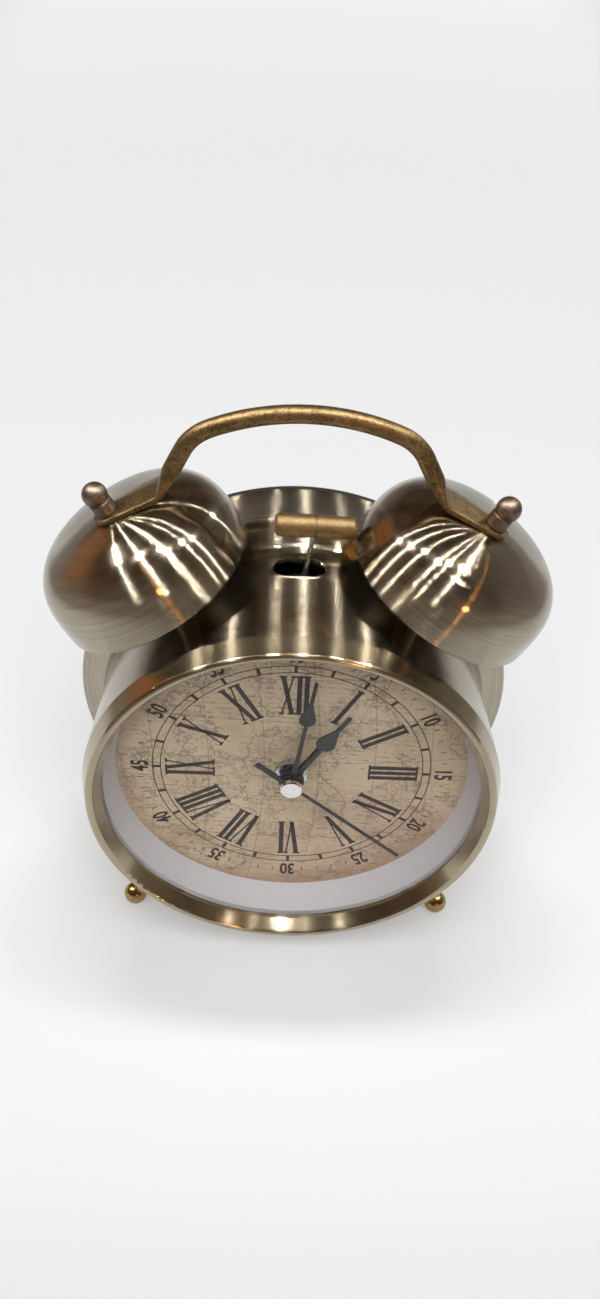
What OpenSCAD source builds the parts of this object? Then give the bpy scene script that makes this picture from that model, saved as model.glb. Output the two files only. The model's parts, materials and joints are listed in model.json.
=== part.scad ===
// Twin bell alarm clock: flared brass drum on two ball feet, battery movement, hammer between two bells.
// Sizes in millimetres. +Z is up, the dial faces -Y, and the origin is on the table under the middle.
// Depth is counted back from the face of the dial.

/* [Case] */
// Radius of the rear rim, which rests on the table
rim_r = 56.4; // [55.5:0.1:58]
// Radius of the drum at its front edge
drum_r = 51.4; // [51:0.1:52.4]
// Radius of the drum at its waist, just ahead of the rim
waist_r = 49.2; // [48.8:0.1:50]
// Radius of the case at its back edge
back_r = 53.4; // [53:0.1:55]
// Thickness of the sheet brass
wall = 1; // [0.8:0.1:1.2]
// Distance of the drum's front edge ahead of the dial
front_edge = 8; // [7:0.1:9]
// Depth of the waist
waist_depth = 23; // [22:0.1:24.5]
// Depth of the case's back edge
back_depth = 46.5; // [45:0.1:50]
// Rounding of the rear rim
rim_round = 0.8; // [0.5:0.1:1.2]
// Length of the slot that the hammer swings in
slot_len = 12.8; // [11:0.1:16]
// Width of that slot
slot_w = 7.2; // [5:0.1:7.6]
// Depth of the middle of that slot
slot_depth = 19; // [18.4:0.1:19.2]

/* [Front] */
// Radius of the bezel at its front
bezel_r = 50.2; // [49.6:0.1:51]
// Distance of the bezel's front ahead of the dial
bezel_front = 13.7; // [12.8:0.1:15]
// Rounding of the bezel's front
bezel_nose = 1.1; // [0.6:0.1:1.3]
// Length of the bezel's spigot inside the drum
spigot_len = 4; // [3:0.1:4.5]
// Radius of the clear view through the bezel
view_r = 46.5; // [45.8:0.1:46.8]
// Radius of the lens
lens_r = 48; // [47.5:0.1:48.4]
// Thickness of the lens
lens_t = 1.8; // [1.5:0.1:2.2]
// Distance of the lens's inner face ahead of the dial
lens_gap = 7.8; // [7.6:0.1:8.2]
// Radius of the dial plate
dial_r = 46; // [45.6:0.1:46.4]
// Thickness of the dial plate
dial_t = 0.8; // [0.5:0.1:1]
// Radius of the dial that shows inside the reflector ring
dial_view_r = 44.2; // [43.5:0.1:45]
// Thickness of the dial carrier's ring
carrier_t = 2; // [1.5:0.1:3]
// Inner radius of the dial carrier's ring
carrier_r = 40; // [39:0.1:40.5]
// Radius of the dial carrier's pillars
pillar_r = 3; // [2.6:0.1:3.2]
// Distance of the pillars from the dial axis
pillar_pos = 44.4; // [43.8:0.1:44.6]
// Directions of the pillars, clockwise from the top
pillar_dirs = [75, 180, 285];

/* [Bells and handle] */
// Depth of the plane that the bells, handle and hammer share
strike_depth = 18; // [17.4:0.1:18.6]
// Radius of a bell's mouth
bell_r = 25; // [24:0.1:25.4]
// Height of a bell
bell_h = 19.8; // [19.6:0.1:22]
// Thickness of a bell
bell_wall = 1; // [0.8:0.1:1.3]
// Radius of a bell's rounded shoulder
bell_shoulder = 11.5; // [9:0.1:11.7]
// Height of a bell's straight skirt
bell_skirt = 7.7; // [5:0.1:7.9]
// Outward lean of a bell's axis
bell_tilt = 30; // [29:0.5:31]
// Direction of the middle of a bell's mouth from the dial axis, from straight up
bell_dir = 36.4; // [36:0.1:37]
// Gap from the rear rim's radius out to the middle of a bell's mouth
bell_gap = 0.85; // [0.6:0.05:2]
// Radius of a bell's post
post_r = 3; // [2.6:0.1:3.6]
// Radius of the stud that runs through bell, handle and finial
stud_r = 1.6; // [1.3:0.1:1.8]
// Radius of the seat at the top of a bell's post
seat_r = 4; // [3.6:0.1:5]
// Radius of the handle's rod
rod_r = 2.1; // [1.8:0.1:2.4]
// Height of the handle's middle above the bells' tops, to the rod's centre
handle_rise = 28.5; // [26:0.1:33]
// Radius of the handle's arch
arch_r = 52; // [46:0.5:60]
// Half the angle that the arch spans
arch_half = 24; // [20:0.5:27]
// Bend radius at the handle's shoulders
shoulder_r = 12; // [9:0.5:14]
// Slope of the handle's legs
leg_slope = 64; // [60:0.5:68]
// Bend radius at the foot of the handle's legs
bend_r = 8; // [6:0.5:9]
// Thickness of the handle's flattened ends
tab_t = 1.4; // [1:0.1:1.8]
// Width of the handle's flattened ends
tab_w = 7.4; // [6.6:0.1:9]
// Radius of a finial's ball
finial_r = 3; // [2.6:0.1:3.4]
// Radius of a finial's neck
neck_r = 2.3; // [2.1:0.1:2.5]
// Height of a finial's ball above its tab
finial_up = 5.2; // [4.8:0.1:7]

/* [Hammer] */
// Height of the hammer's pivot above the movement
pivot_rise = 13; // [12.5:0.1:13.5]
// Radius of the hammer's pivot pin
pivot_r = 1; // [0.8:0.1:1.2]
// Play between the hammer's head at rest and the edge of the right bell
head_play = 0.1; // [0.05:0.01:0.2]
// Height of the hammer's head above the bells' inner edges
head_rise = 3.8; // [3.2:0.1:4.2]
// Length of the hammer's head
head_len = 19.1; // [18:0.1:19.4]
// Radius of the hammer's head
head_r = 2.65; // [2.3:0.05:2.8]
// Droop of the head's right end at rest
head_droop = 1.5; // [0:0.5:3]
// Radius of the hammer's rod
wire_r = 0.6; // [0.5:0.05:0.8]
// Height of the motor crank above the movement, which the motor rests on
crank_rise = 6; // [5.8:0.1:6.2]

/* [Feet] */
// Radius of a foot's ball
ball_r = 3.1; // [2.8:0.1:3.5]
// Splay of the feet from straight down
foot_splay = 38; // [35:0.5:40]
// Depth of the feet
foot_depth = 2.6; // [2.4:0.1:6]
// Flat worn on the sole of a ball foot
sole_cut = 0.3; // [0.2:0.05:0.5]
// Radius of a foot's stem
stem_r = 1.7; // [1.5:0.1:2]

/* [Back] */
// Thickness of the rear cover
cover_t = 2; // [1.8:0.1:2.4]
// Length of the battery bay
bay_len = 57; // [56:0.5:57.5]
// Height of the battery bay
bay_h = 30; // [29.5:0.1:30.4]
// Depth of the battery bay inside the cover
bay_depth = 15.5; // [15:0.1:17]
// Height of the battery bay's top below the dial axis
bay_top = 8.5; // [8.2:0.1:9]
// Radius of the setting knobs
knob_r = 6.2; // [5.5:0.1:6.4]
// Length of the setting knobs
knob_len = 7; // [6:0.1:9]
// Gap between the knobs and the cover
knob_gap = 0.5; // [0.4:0.1:0.9]
// Travel of the alarm switch
switch_travel = 5; // [3:0.1:6]
// Travel of the light button
button_travel = 1.5; // [1:0.1:2]

/* [Movement] */
// Width and height of the movement
move_w = 54; // [52:0.5:55]
// Wall of the movement's case
move_wall = 1.6; // [1.2:0.1:2]
// Thickness of the wheels
wheel_t = 0.8; // [0.6:0.1:0.9]
// Gap between the layers of wheels
lay_gap = 0.6; // [0.5:0.1:0.8]
// Distance of both setting arbors from the dial axis
set_dist = 12; // [11.8:0.1:12.4]
// Distance of the third wheel from the dial axis
third_dist = 10.8; // [10.7:0.1:11.2]
// Distance of the step wheel from the dial axis
step_dist = 7.2; // [7:0.1:7.6]
// Distance of the rotor from the step wheel
rotor_dist = 7; // [6.9:0.1:7.3]
// Reach of the hour hand from the dial axis
hour_len = 26; // [22:0.5:30]
// Reach of the minute hand from the dial axis
minute_len = 34.5; // [30:0.5:38]
// Reach of the second hand from the dial axis
second_len = 37.8; // [30:0.1:40]
// Length of the second hand's tail
second_tail = 11.7; // [8:0.1:16]
// Reach of the alarm hand from the dial axis
alarm_len = 14; // [10:0.5:18]
// Clockwise angle of the hour hand at rest
hour_angle = 31; // [0:0.5:360]
// Clockwise angle of the minute hand at rest
minute_angle = 8; // [0:0.5:360]
// Clockwise angle of the second hand at rest
second_angle = 131; // [0:0.5:360]

/* [Hidden] */
$fn = 64;
eps = 0.01;

// Clearances
fit = 0.05;
slack = 0.1;
gap = 0.2;
clear = 0.3;

// Colours
brass = [0.50, 0.42, 0.29];
pale_brass = [0.68, 0.58, 0.40];
gold_brass = [0.70, 0.52, 0.27];
black = [0.06, 0.06, 0.06];
white = [0.88, 0.88, 0.87];
steel = [0.72, 0.73, 0.74];
gear_plastic = [0.90, 0.88, 0.80];

// Case
axis_h = rim_r;
flare_r = rim_r - waist_r - rim_round;
cover_face = back_depth + cover_t;
knob_start = cover_face + knob_gap;
knob_end = knob_start + knob_len;
mid_depth = (knob_end - bezel_front) / 2;

// Front
function drum_out(d) = drum_r + (waist_r - drum_r) * (d + front_edge) / (waist_depth + front_edge);
function drum_in(d) = drum_out(d) - wall;
spigot_r = drum_in(spigot_len - front_edge) - slack;
lens_front = lens_gap + lens_t;
ring_step = front_edge - spigot_len - slack;
carrier_back = dial_t + carrier_t;
pillar_end = back_depth - 1.5;
screw_r = 1.2;
screw_head_r = 2.4;
screw_head_t = 1.3;
lamp_r = 1.2;
lamp_pos = dial_r + lamp_r + clear;
lamp_len = 4.2;
lamp_dirs = [120, 240];

// Feet
foot_reach = (axis_h - ball_r + sole_cut) / cos(foot_splay);
foot_stud_r = 1.2;
foot_stud_len = 7;
collar_r = stem_r + 1.2;
collar_start = drum_out(foot_depth - collar_r) + slack;
boss_r = 3.2;
boss_end = drum_in(foot_depth + boss_r) - clear;

// Bells and handle
nut_t = 2.6;
nut_r = 3.6;
round_part = 0.35;
seam = 0.02;
seam_reach = 15;
bell_x = (rim_r + bell_gap) * sin(bell_dir);
bell_up = (rim_r + bell_gap) * cos(bell_dir);
tilt_across = [cos(bell_tilt), -sin(bell_tilt)];
tilt_along = [sin(bell_tilt), cos(bell_tilt)];
bell_top = [bell_x, bell_up] + bell_h * tilt_along;
bell_edge = [bell_x, bell_up] - bell_r * tilt_across;
handle_up = bell_top[1] + handle_rise;
tab_mid = bell_top + tab_t / 2 * tilt_along;

// Hammer
pivot_up = move_w / 2 + pivot_rise;
crank_up = move_w / 2 + crank_rise;
head_reach = max(0, head_rise - head_r) * tan(bell_tilt);
head_x = bell_edge[0] + head_reach - head_len / 2 - head_play;
arm = [head_x, bell_edge[1] + head_rise - pivot_up];
crank_throw = (pivot_rise - crank_rise) * arm[0] / arm[1];
lean = atan2(arm[0], arm[1]);
arm_len = norm(arm);
hub_r = 3;
hub_len = 8.6;
wing_t = 1.5;
wing_w = 9;
bracket_w = 28;
bracket_foot_t = 1.5;
bracket_front = strike_depth - hub_len / 2 - gap - wing_t;
bracket_back = strike_depth + hub_len / 2 + gap + wing_t;
fork_t = 1.6;
fork_w = 5;
fork_end = crank_up - 2.6;
crank_pin_r = 0.6;
crank_r = 2.3;
crank_t = 1;
fork_slot = 2 * (crank_pin_r + 0.35);
shaft_r = 0.75;
motor_r = 6;
motor_len = 16;

// Back
spigot_out = back_r - wall - slack;
spigot_wall = 1.6;
bay_wall = 1.4;
bay_floor = cover_face - bay_depth - bay_wall;
bay_mid = -bay_top - bay_h / 2;
door_t = 1.6;
door_lip = 1.2;
switch_pos = [-28, 20];
switch_neck = [6, 4.6];
switch_hole = [switch_neck[0] + switch_travel + 2 * gap, switch_neck[1] + 2 * gap, 3 * cover_t];
switch_flange = [10, 8];
button_pos = [28, 20];
button_r = 3.9;
button_flange_r = 5;
arbor_r = 1;

// Movement
plate_front = dial_t;
plate_t = 1.6;
plate_back = plate_front + plate_t;
function lay(k) = plate_back + lay_gap + k * (wheel_t + lay_gap);
mid_plate = lay(5);
back_wall = lay(8);
move_back = back_wall + move_wall;
pinion_t = wheel_t + 0.3;
pivot_fit_r = 0.4;
second_r = 0.4;
tube_wall = 0.45;
minute_in = second_r + fit;
minute_out = minute_in + tube_wall;
hour_in = minute_out + fit;
hour_out = hour_in + tube_wall;
alarm_in = hour_out + fit;
alarm_out = alarm_in + tube_wall;
bush_in = alarm_out + fit;
bush_out = bush_in + 1;
bush_front = 2.2;
nut_front = 1.8;
centre_nut_r = 4.1;
hand_t = 0.4;
hour_w = 1.5;
hour_bulb = 2.4;
minute_w = 1.3;
minute_bulb = 2;
alarm_w = 1.1;
second_w = 0.8;
tail_w = 1.5;
alarm_hand_d = 2.9;
hour_hand_d = 3.9;
minute_hand_d = 5.2;
second_hand_d = 5.9;
cap_front = 7.2;
cap_r = 2.8;
stator_front = mid_plate + wheel_t + 0.5;
stator_back = stator_front + wheel_t;
board_back = back_wall - 0.6;
corner = 6;
corner_pos = move_w / 2 - corner / 2;
board_t = 0.8;
board_h = 9;
board_w = move_w - 2 * corner - 2 * clear - 1.4;
board_up = move_w / 2 - move_wall - 3.4;
board_post = board_w / 2 - 2;
magnet_r = 2;
rotor_up = -step_dist - rotor_dist;
core_t = 0.8;
coil_r = 1.3;
bobbin_r = 1.6;
coil_len = 16.4;
coil_up = -move_w / 2 + move_wall + bobbin_r + 2 * clear;
stator_w = 24;
stator_arm = (stator_w - coil_len) / 2 - gap;
stator_top = rotor_up + 4;
stator_low = coil_up - 1.4;
case_screw_r = 1;

// Teeth
centre_n = 64;
third_pinion_n = 8;
third_n = 60;
second_pinion_n = 8;
second_n = 40;
step_pinion_n = 8;
step_n = 48;
rotor_n = 8;
cannon_n = 12;
minute_n = 36;
minute_pinion_n = 10;
hour_n = 40;
alarm_n = 36;
alarm_pinion_n = 12;

// Frames: the clock frame has the dial axis as its Z, with depth along it and up along its -Y
module clock() translate([0, -mid_depth, axis_h]) rotate([-90, 0, 0]) children();
module at(x, up, depth) translate([x, -up, depth]) children();
module around(dir, dist, depth) rotate([0, 0, dir]) translate([0, -dist, depth]) children();
module strike_plane() translate([0, strike_depth - mid_depth, axis_h]) children();
module bell_frame() strike_plane() translate([bell_x, 0, bell_up]) rotate([0, bell_tilt, 0]) children();
module left() mirror([1, 0, 0]) children();
module both() {
    children();
    left() children();
}

// Outline of a toothed wheel with n teeth of module m
function polar(r, a) = [r * cos(a), r * sin(a)];
function teeth(n, m, phase) = let (pitch = 360 / n, r = n * m / 2) [
    for (i = [0 : n - 1]) each let (a = phase + i * pitch) [
        polar(r - 1.15 * m, a - 0.30 * pitch),
        polar(r, a - 0.20 * pitch),
        polar(r + 0.8 * m, a - 0.08 * pitch),
        polar(r + 0.8 * m, a + 0.08 * pitch),
        polar(r, a + 0.20 * pitch),
        polar(r - 1.15 * m, a + 0.30 * pitch)
    ]
];
module gear(n, dist, mate, h, phase) linear_extrude(h) polygon(teeth(n, 2 * dist / (n + mate), phase));
module wheel(k, n, dist, mate, phase) translate([0, 0, lay(k)]) gear(n, dist, mate, wheel_t, phase);
module pinion(k, n, dist, mate, phase)
    translate([0, 0, lay(k) - (pinion_t - wheel_t) / 2]) gear(n, dist, mate, pinion_t, phase);
module rod(r, from, to) translate([0, 0, from]) cylinder(r = r, h = to - from);
module tube(r_out, r_in, from, to) difference() {
    rod(r_out, from, to);
    rod(r_in, from - 1, to + 1);
}

// Case

// Section of the case wall: tapered drum, hollow flare, rounded rim and rear band
module case_section() {
    flare_x = waist_r + flare_r;
    flare_end = waist_depth + flare_r;
    polygon([
        [drum_r, -front_edge], [waist_r, waist_depth],
        [waist_r - wall, waist_depth], [drum_r - wall, -front_edge]
    ]);
    intersection() {
        difference() {
            translate([flare_x, waist_depth]) circle(r = flare_r + wall);
            translate([flare_x, waist_depth]) circle(r = flare_r);
        }
        translate([waist_r - wall, waist_depth]) square(flare_r + wall);
    }
    intersection() {
        translate([flare_x, flare_end + rim_round]) circle(r = rim_round);
        translate([flare_x, flare_end]) square(rim_round);
    }
    polygon([
        [flare_x, flare_end + rim_round], [rim_r, flare_end + rim_round], [back_r, back_depth],
        [back_r - wall, back_depth], [flare_x, flare_end + wall]
    ]);
}

module case_drum() color(brass) difference() {
    clock() rotate_extrude($fn = 128) case_section();
    translate([0, slot_depth - mid_depth, axis_h]) slot_cut();
    both() bell_frame() rod(stud_r + slack, -bell_up / 2, 0);
    both() foot_frame() rod(foot_stud_r + slack, drum_in(foot_depth) - 2, drum_r + 2);
}

module slot_cut() {
    run = (slot_len - slot_w) / 2;
    low = waist_r - 6;
    tall = 12;
    for (s = [-1, 1]) translate([s * run, 0, low]) cylinder(r = slot_w / 2, h = tall);
    translate([-run, -slot_w / 2, low]) cube([2 * run, slot_w, tall]);
}

// The bezel's dished face runs from the lip of the view to the round nose that it meets
lip = [view_r, -lens_front - 0.6];
nose_mid = [bezel_r - bezel_nose, bezel_nose - bezel_front];
to_nose = nose_mid - lip;
dish_angle = atan2(to_nose[1], to_nose[0]) - asin(bezel_nose / norm(to_nose));
dish_len = sqrt(to_nose * to_nose - bezel_nose * bezel_nose);
module front_bezel() color(pale_brass) clock() rotate_extrude($fn = 128) {
    translate(nose_mid) circle(r = bezel_nose);
    polygon([
        [view_r, -lens_front],
        lip,
        lip + dish_len * [cos(dish_angle), sin(dish_angle)],
        nose_mid,
        nose_mid + [bezel_nose, 0],
        [drum_r, -front_edge],
        [spigot_r, -front_edge],
        [spigot_r, -front_edge + spigot_len],
        [lens_r + slack, -front_edge + spigot_len],
        [lens_r + slack, -lens_front]
    ]);
}

module lens_glass() color([0.85, 0.92, 0.95, 0.25]) clock() rod(lens_r, -lens_front, -lens_gap, $fn = 128);

module reflector_ring() color(white) clock() rotate_extrude($fn = 128) polygon([
    [view_r - slack, -lens_gap],
    [lens_r, -lens_gap],
    [lens_r, -ring_step],
    [drum_in(dial_t) - gap, -ring_step],
    [drum_in(dial_t) - gap, dial_t],
    [dial_r + slack, dial_t],
    [dial_r + slack, 0],
    [dial_view_r, 0]
]);

module dial_plate() color([0.80, 0.71, 0.55]) clock() tube(dial_r, bush_out + slack, 0, dial_t, $fn = 128);

module dial_carrier() color(white) difference() {
    union() {
        clock() tube(drum_in(carrier_back) - gap, carrier_r, dial_t, carrier_back, $fn = 128);
        clock() for (a = pillar_dirs) around(a, pillar_pos, 0) rod(pillar_r, carrier_back - 1, pillar_end);
        difference() {
            both() foot_frame() rod(boss_r, carrier_r + 1, boss_end);
            clock() rod(rim_r, -2 * boss_r, dial_t, $fn = 128);
        }
    }
    clock() square_plate(move_w + 2 * clear, carrier_t + 2, dial_t - 1);
    both() foot_frame() rod(foot_stud_r, boss_end - foot_stud_len - 0.5, rim_r);
    clock() for (a = pillar_dirs) around(a, pillar_pos, 0) rod(screw_r, pillar_end - 8, pillar_end + 1);
    clock() for (a = lamp_dirs) around(a, lamp_pos, 0) rod(lamp_r + fit, 0, carrier_back + 1);
}

module dial_lamps() color([0.95, 0.95, 0.90]) clock()
    for (a = lamp_dirs) around(a, lamp_pos, 0) rod(lamp_r, dial_t, dial_t + lamp_len);

// Back

module bay_box(grow, from, to)
    at(-bay_len / 2 - grow, -bay_top + grow, from) cube([bay_len + 2 * grow, bay_h + 2 * grow, to - from]);

module rear_cover() color(black) clock() difference() {
    union() {
        rod(back_r, back_depth, cover_face - 0.6, $fn = 128);
        translate([0, 0, cover_face - 0.6]) cylinder(r1 = back_r, r2 = back_r - 0.8, h = 0.6, $fn = 128);
        tube(spigot_out, spigot_out - spigot_wall, back_depth - 3, back_depth + eps, $fn = 128);
        bay_box(bay_wall, bay_floor, cover_face);
        for (a = pillar_dirs) around(a, pillar_pos, 0) rod(pillar_r + 0.4, pillar_end, back_depth + eps);
        for (s = [-1, 1]) at(s * set_dist, 0, 0) rod(arbor_r + 1.6, back_depth - 3, back_depth + eps);
    }
    bay_box(0, bay_floor + bay_wall, cover_face + 1);
    bay_box(door_lip, cover_face - door_t - slack, cover_face + 1);
    for (a = pillar_dirs) around(a, pillar_pos, 0) {
        rod(screw_r + slack, pillar_end - 1, cover_face + 1);
        rod(screw_head_r + slack, cover_face - screw_head_t, cover_face + 1);
    }
    for (s = [-1, 1]) at(s * set_dist, 0, 0) rod(arbor_r + fit, back_depth - 4, cover_face + 1);
    at(button_pos[0], button_pos[1], 0) rod(button_r + slack, back_depth - 1, cover_face + 1);
    at(switch_pos[0], switch_pos[1], cover_face) cube(switch_hole, center = true);
}

module rear_screws() color(steel) clock() for (a = pillar_dirs) around(a, pillar_pos, 0) difference() {
    union() {
        rod(screw_r, pillar_end - 6, cover_face - eps);
        rod(screw_head_r, cover_face - screw_head_t, cover_face);
    }
    translate([0, 0, cover_face]) cube([0.6, 2 * screw_head_r - 1.4, 1.2], center = true);
    translate([0, 0, cover_face]) cube([2 * screw_head_r - 1.4, 0.6, 1.2], center = true);
}

module battery_door() color(black) clock() difference() {
    union() {
        bay_box(door_lip - gap, cover_face - door_t, cover_face);
        for (s = [-1, 1]) at(s * bay_len / 4, -bay_top - gap, cover_face - door_t - 2)
            translate([-3, 0, 0]) cube([6, 1, 2 + eps]);
    }
    at(0, -bay_top - 3.5, cover_face + 1.2) rotate([0, 90, 0]) cylinder(r = 2, h = 12, center = true);
}

module battery_contacts() color(steel) clock() for (s = [-1, 1]) for (row = [-1, 1])
    at(s * (bay_len / 2 - 0.25), bay_mid + row * bay_h / 4, cover_face - bay_depth / 2) {
        cube([0.5, 11, 12], center = true);
        translate([s * -0.75, 0, 0]) rotate([0, 90, 0]) cylinder(r = 2.6, h = 1.5, center = true);
    }

module alarm_switch() color([0.75, 0.75, 0.73]) clock()
    at(switch_pos[0] - switch_travel / 2, switch_pos[1], 0) {
        translate([0, 0, back_depth - 1]) cube([switch_flange[0], switch_flange[1], 1.5], center = true);
        translate([0, 0, back_depth + cover_t / 2])
            cube([switch_neck[0], switch_neck[1], cover_t + 1], center = true);
        translate([0, 0, cover_face + 1.2]) cube([switch_neck[0], switch_neck[1] + 2, 1.8], center = true);
        for (i = [-1 : 1]) translate([i * 1.6, 0, cover_face + 2.2])
            cube([0.6, switch_neck[1] + 1.2, 0.6], center = true);
    }

module light_button() color([0.75, 0.75, 0.73]) clock() at(button_pos[0], button_pos[1], 0) {
    rod(button_r, back_depth - 2, cover_face + button_travel + 0.3);
    rod(button_flange_r, back_depth - clear - 1.7, back_depth - clear);
}

module setting_knob() difference() {
    union() {
        rod(knob_r, knob_start, knob_end - 0.8);
        translate([0, 0, knob_end - 0.8]) cylinder(r1 = knob_r, r2 = knob_r - 0.8, h = 0.8);
    }
    for (i = [0 : 17]) rotate([0, 0, i * 20]) translate([knob_r + 0.5, 0, knob_start + 1.2])
        cylinder(r = 0.9, h = knob_len, $fn = 24);
    rod(arbor_r, knob_start - 1, knob_end - 2);
    rod(knob_r - 2, knob_end - 0.6, knob_end + 1);
}
module time_knob() color(black) clock() at(-set_dist, 0, 0) setting_knob();
module alarm_knob() color(black) clock() at(set_dist, 0, 0) setting_knob();

// Feet

module foot_frame()
    translate([0, foot_depth - mid_depth, axis_h]) rotate([0, 180 - foot_splay, 0]) children();

module foot() color(gold_brass) difference() {
    foot_frame() {
        rod(foot_stud_r, boss_end - foot_stud_len, collar_start + 1);
        rod(stem_r, collar_start, foot_reach);
        translate([0, 0, collar_start]) cylinder(r1 = collar_r, r2 = stem_r, h = 3);
        translate([0, 0, foot_reach]) sphere(r = ball_r);
    }
    translate([0, 0, -ball_r]) cube([4 * rim_r, 4 * rim_r, 2 * ball_r], center = true);
}
module right_foot() foot();
module left_foot() left() foot();

module hex_nut(bore, from) difference() {
    translate([0, 0, from]) cylinder(r = nut_r, h = nut_t, $fn = 6);
    rod(bore, from - 1, from + nut_t + 1);
}

// Bells, posts, handle and finials

// Distance along the bell axis at which it meets a round wall of radius r about the dial axis
function wall_on_axis(r) = let (b = bell_x * tilt_along[0] + bell_up * tilt_along[1])
    -b + sqrt(b * b - bell_x * bell_x - bell_up * bell_up + r * r);
nut_top = wall_on_axis(drum_in(strike_depth)) - 0.9;

// A bell's crown arc, shoulder arc and straight skirt are tangent to each other
shoulder_x = bell_r - bell_shoulder;
crown_drop = bell_h - bell_skirt;
crown_r = (shoulder_x * shoulder_x + crown_drop * crown_drop - bell_shoulder * bell_shoulder)
    / (2 * (crown_drop - bell_shoulder));
// The post's seat touches the hollow of the crown at its edge
seat_up = bell_h - crown_r + sqrt(pow(crown_r - bell_wall, 2) - seat_r * seat_r);
module post() color(pale_brass) difference() {
    bell_frame() {
        rod(post_r, wall_on_axis(drum_out(strike_depth)) - 1.5, seat_up);
        rod(seat_r, seat_up - 2, seat_up);
        rod(stud_r, nut_top - nut_t - 1.5, bell_h + tab_t + 3);
    }
    difference() {
        clock() rod(drum_out(strike_depth - post_r) + slack, strike_depth - 8, strike_depth + 8, $fn = 128);
        bell_frame() rod(stud_r, nut_top - nut_t - 2, 0);
    }
}
module right_post() post();
module left_post() left() post();
module post_nuts() color(steel) both() bell_frame() hex_nut(stud_r, nut_top - nut_t);

// Half section of a bell, inset from its outside
module bell_section(inset) {
    crown_mid = [0, bell_h - crown_r];
    run = [shoulder_x, bell_skirt] - crown_mid;
    intersection() {
        translate(crown_mid) circle(r = crown_r - inset, $fn = 480);
        polygon([crown_mid, crown_mid + 3 * run, [0, 4 * bell_h]]);
        translate([0, -inset]) square(4 * bell_h);
    }
    intersection() {
        translate([shoulder_x, bell_skirt]) circle(r = bell_shoulder - inset);
        translate([0, -inset]) square(4 * bell_h);
    }
    translate([0, -inset]) square([bell_r - inset, bell_skirt + inset]);
}
function reversed(list) = [for (i = [len(list) - 1 : -1 : 0]) list[i]];

module bell() color(brass) bell_frame() difference() {
    rotate_extrude($fn = 128) bell_section(0);
    rotate_extrude($fn = 128) bell_section(bell_wall);
    rod(stud_r + slack, 0, bell_h + 1);
}
module right_bell() bell();
module left_bell() left() bell();

// The handle's centre line: arch, shoulder, leg, lower bend and end, the last two straight runs closing it
arch_mid = [0, handle_up - arch_r];
shoulder_mid = arch_mid + (arch_r - shoulder_r) * [sin(arch_half), cos(arch_half)];
leg_start = shoulder_mid + shoulder_r * [sin(leg_slope), cos(leg_slope)];
leg_dir = [cos(leg_slope), -sin(leg_slope)];
bend_move = bend_r * [sin(leg_slope) - sin(bell_tilt), cos(leg_slope) - cos(bell_tilt)];
to_close = tab_mid - leg_start - bend_move;
closing = leg_dir[0] * tilt_across[1] - leg_dir[1] * tilt_across[0];
leg_len = (to_close[0] * tilt_across[1] - to_close[1] * tilt_across[0]) / closing;
end_len = (leg_dir[0] * to_close[1] - leg_dir[1] * to_close[0]) / closing;
leg_end = leg_start + leg_len * leg_dir;
bend_mid = leg_end + bend_r * [sin(leg_slope), cos(leg_slope)];
end_start = tab_mid - end_len * tilt_across;

// Bent lengths are a hair thinner than the straight ones and reach a little into them
module bent_rod(mid, r, from, to, thin, reach) translate(mid) rotate([0, 0, from - reach])
    rotate_extrude(angle = to - from + 2 * reach, $fn = 96)
        translate([r, 0]) circle(r = rod_r - thin, $fn = 32);
module straight_rod(start, len, slope) translate(start) rotate([0, 0, -slope]) rotate([0, 90, 0])
    cylinder(r = rod_r, h = len, $fn = 32);

// Each leg is a round rod that is beaten flat towards its lower bend and ends in a strap with a round end
module handle_side() {
    bent_rod(shoulder_mid, shoulder_r, 90 - leg_slope, 90 - arch_half, seam, seam_reach / shoulder_r);
    straight_rod(leg_start, round_part * leg_len, leg_slope);
    translate(leg_start) rotate([0, 0, -leg_slope]) hull() {
        translate([round_part * leg_len - clear, 0, 0]) rotate([0, 90, 0])
            cylinder(r = rod_r - fit, h = eps, $fn = 32);
        strap(leg_len, leg_len + eps);
    }
    translate(bend_mid) rotate([0, 0, 270 - leg_slope - seam_reach / bend_r])
        rotate_extrude(angle = leg_slope - bell_tilt + 2 * seam_reach / bend_r, $fn = 96)
            translate([bend_r, 0]) square([tab_t - 2 * seam, tab_w - 2 * seam], center = true);
    translate(end_start) rotate([0, 0, -bell_tilt]) difference() {
        union() {
            strap(0, end_len);
            translate([end_len, 0, 0]) rotate([90, 0, 0]) rod(tab_w / 2, -tab_t / 2, tab_t / 2);
        }
        translate([end_len, 0, 0]) rotate([90, 0, 0]) rod(stud_r + slack, -tab_t, tab_t);
    }
}
module strap(from, to) translate([from, -tab_t / 2, -tab_w / 2]) cube([to - from, tab_t, tab_w]);
module handle() color(gold_brass) strike_plane() rotate([90, 0, 0]) {
    bent_rod(arch_mid, arch_r, 90 - arch_half, 90 + arch_half, 0, 0);
    handle_side();
    left() handle_side();
}

module finial() color(pale_brass) bell_frame() translate([0, 0, bell_h + tab_t]) difference() {
    union() {
        rod(neck_r, 0, finial_up - 0.5);
        translate([0, 0, finial_up]) sphere(r = finial_r);
    }
    rod(stud_r, -1, 3);
}
module right_finial() finial();
module left_finial() left() finial();

// Hammer and its drive

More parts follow.
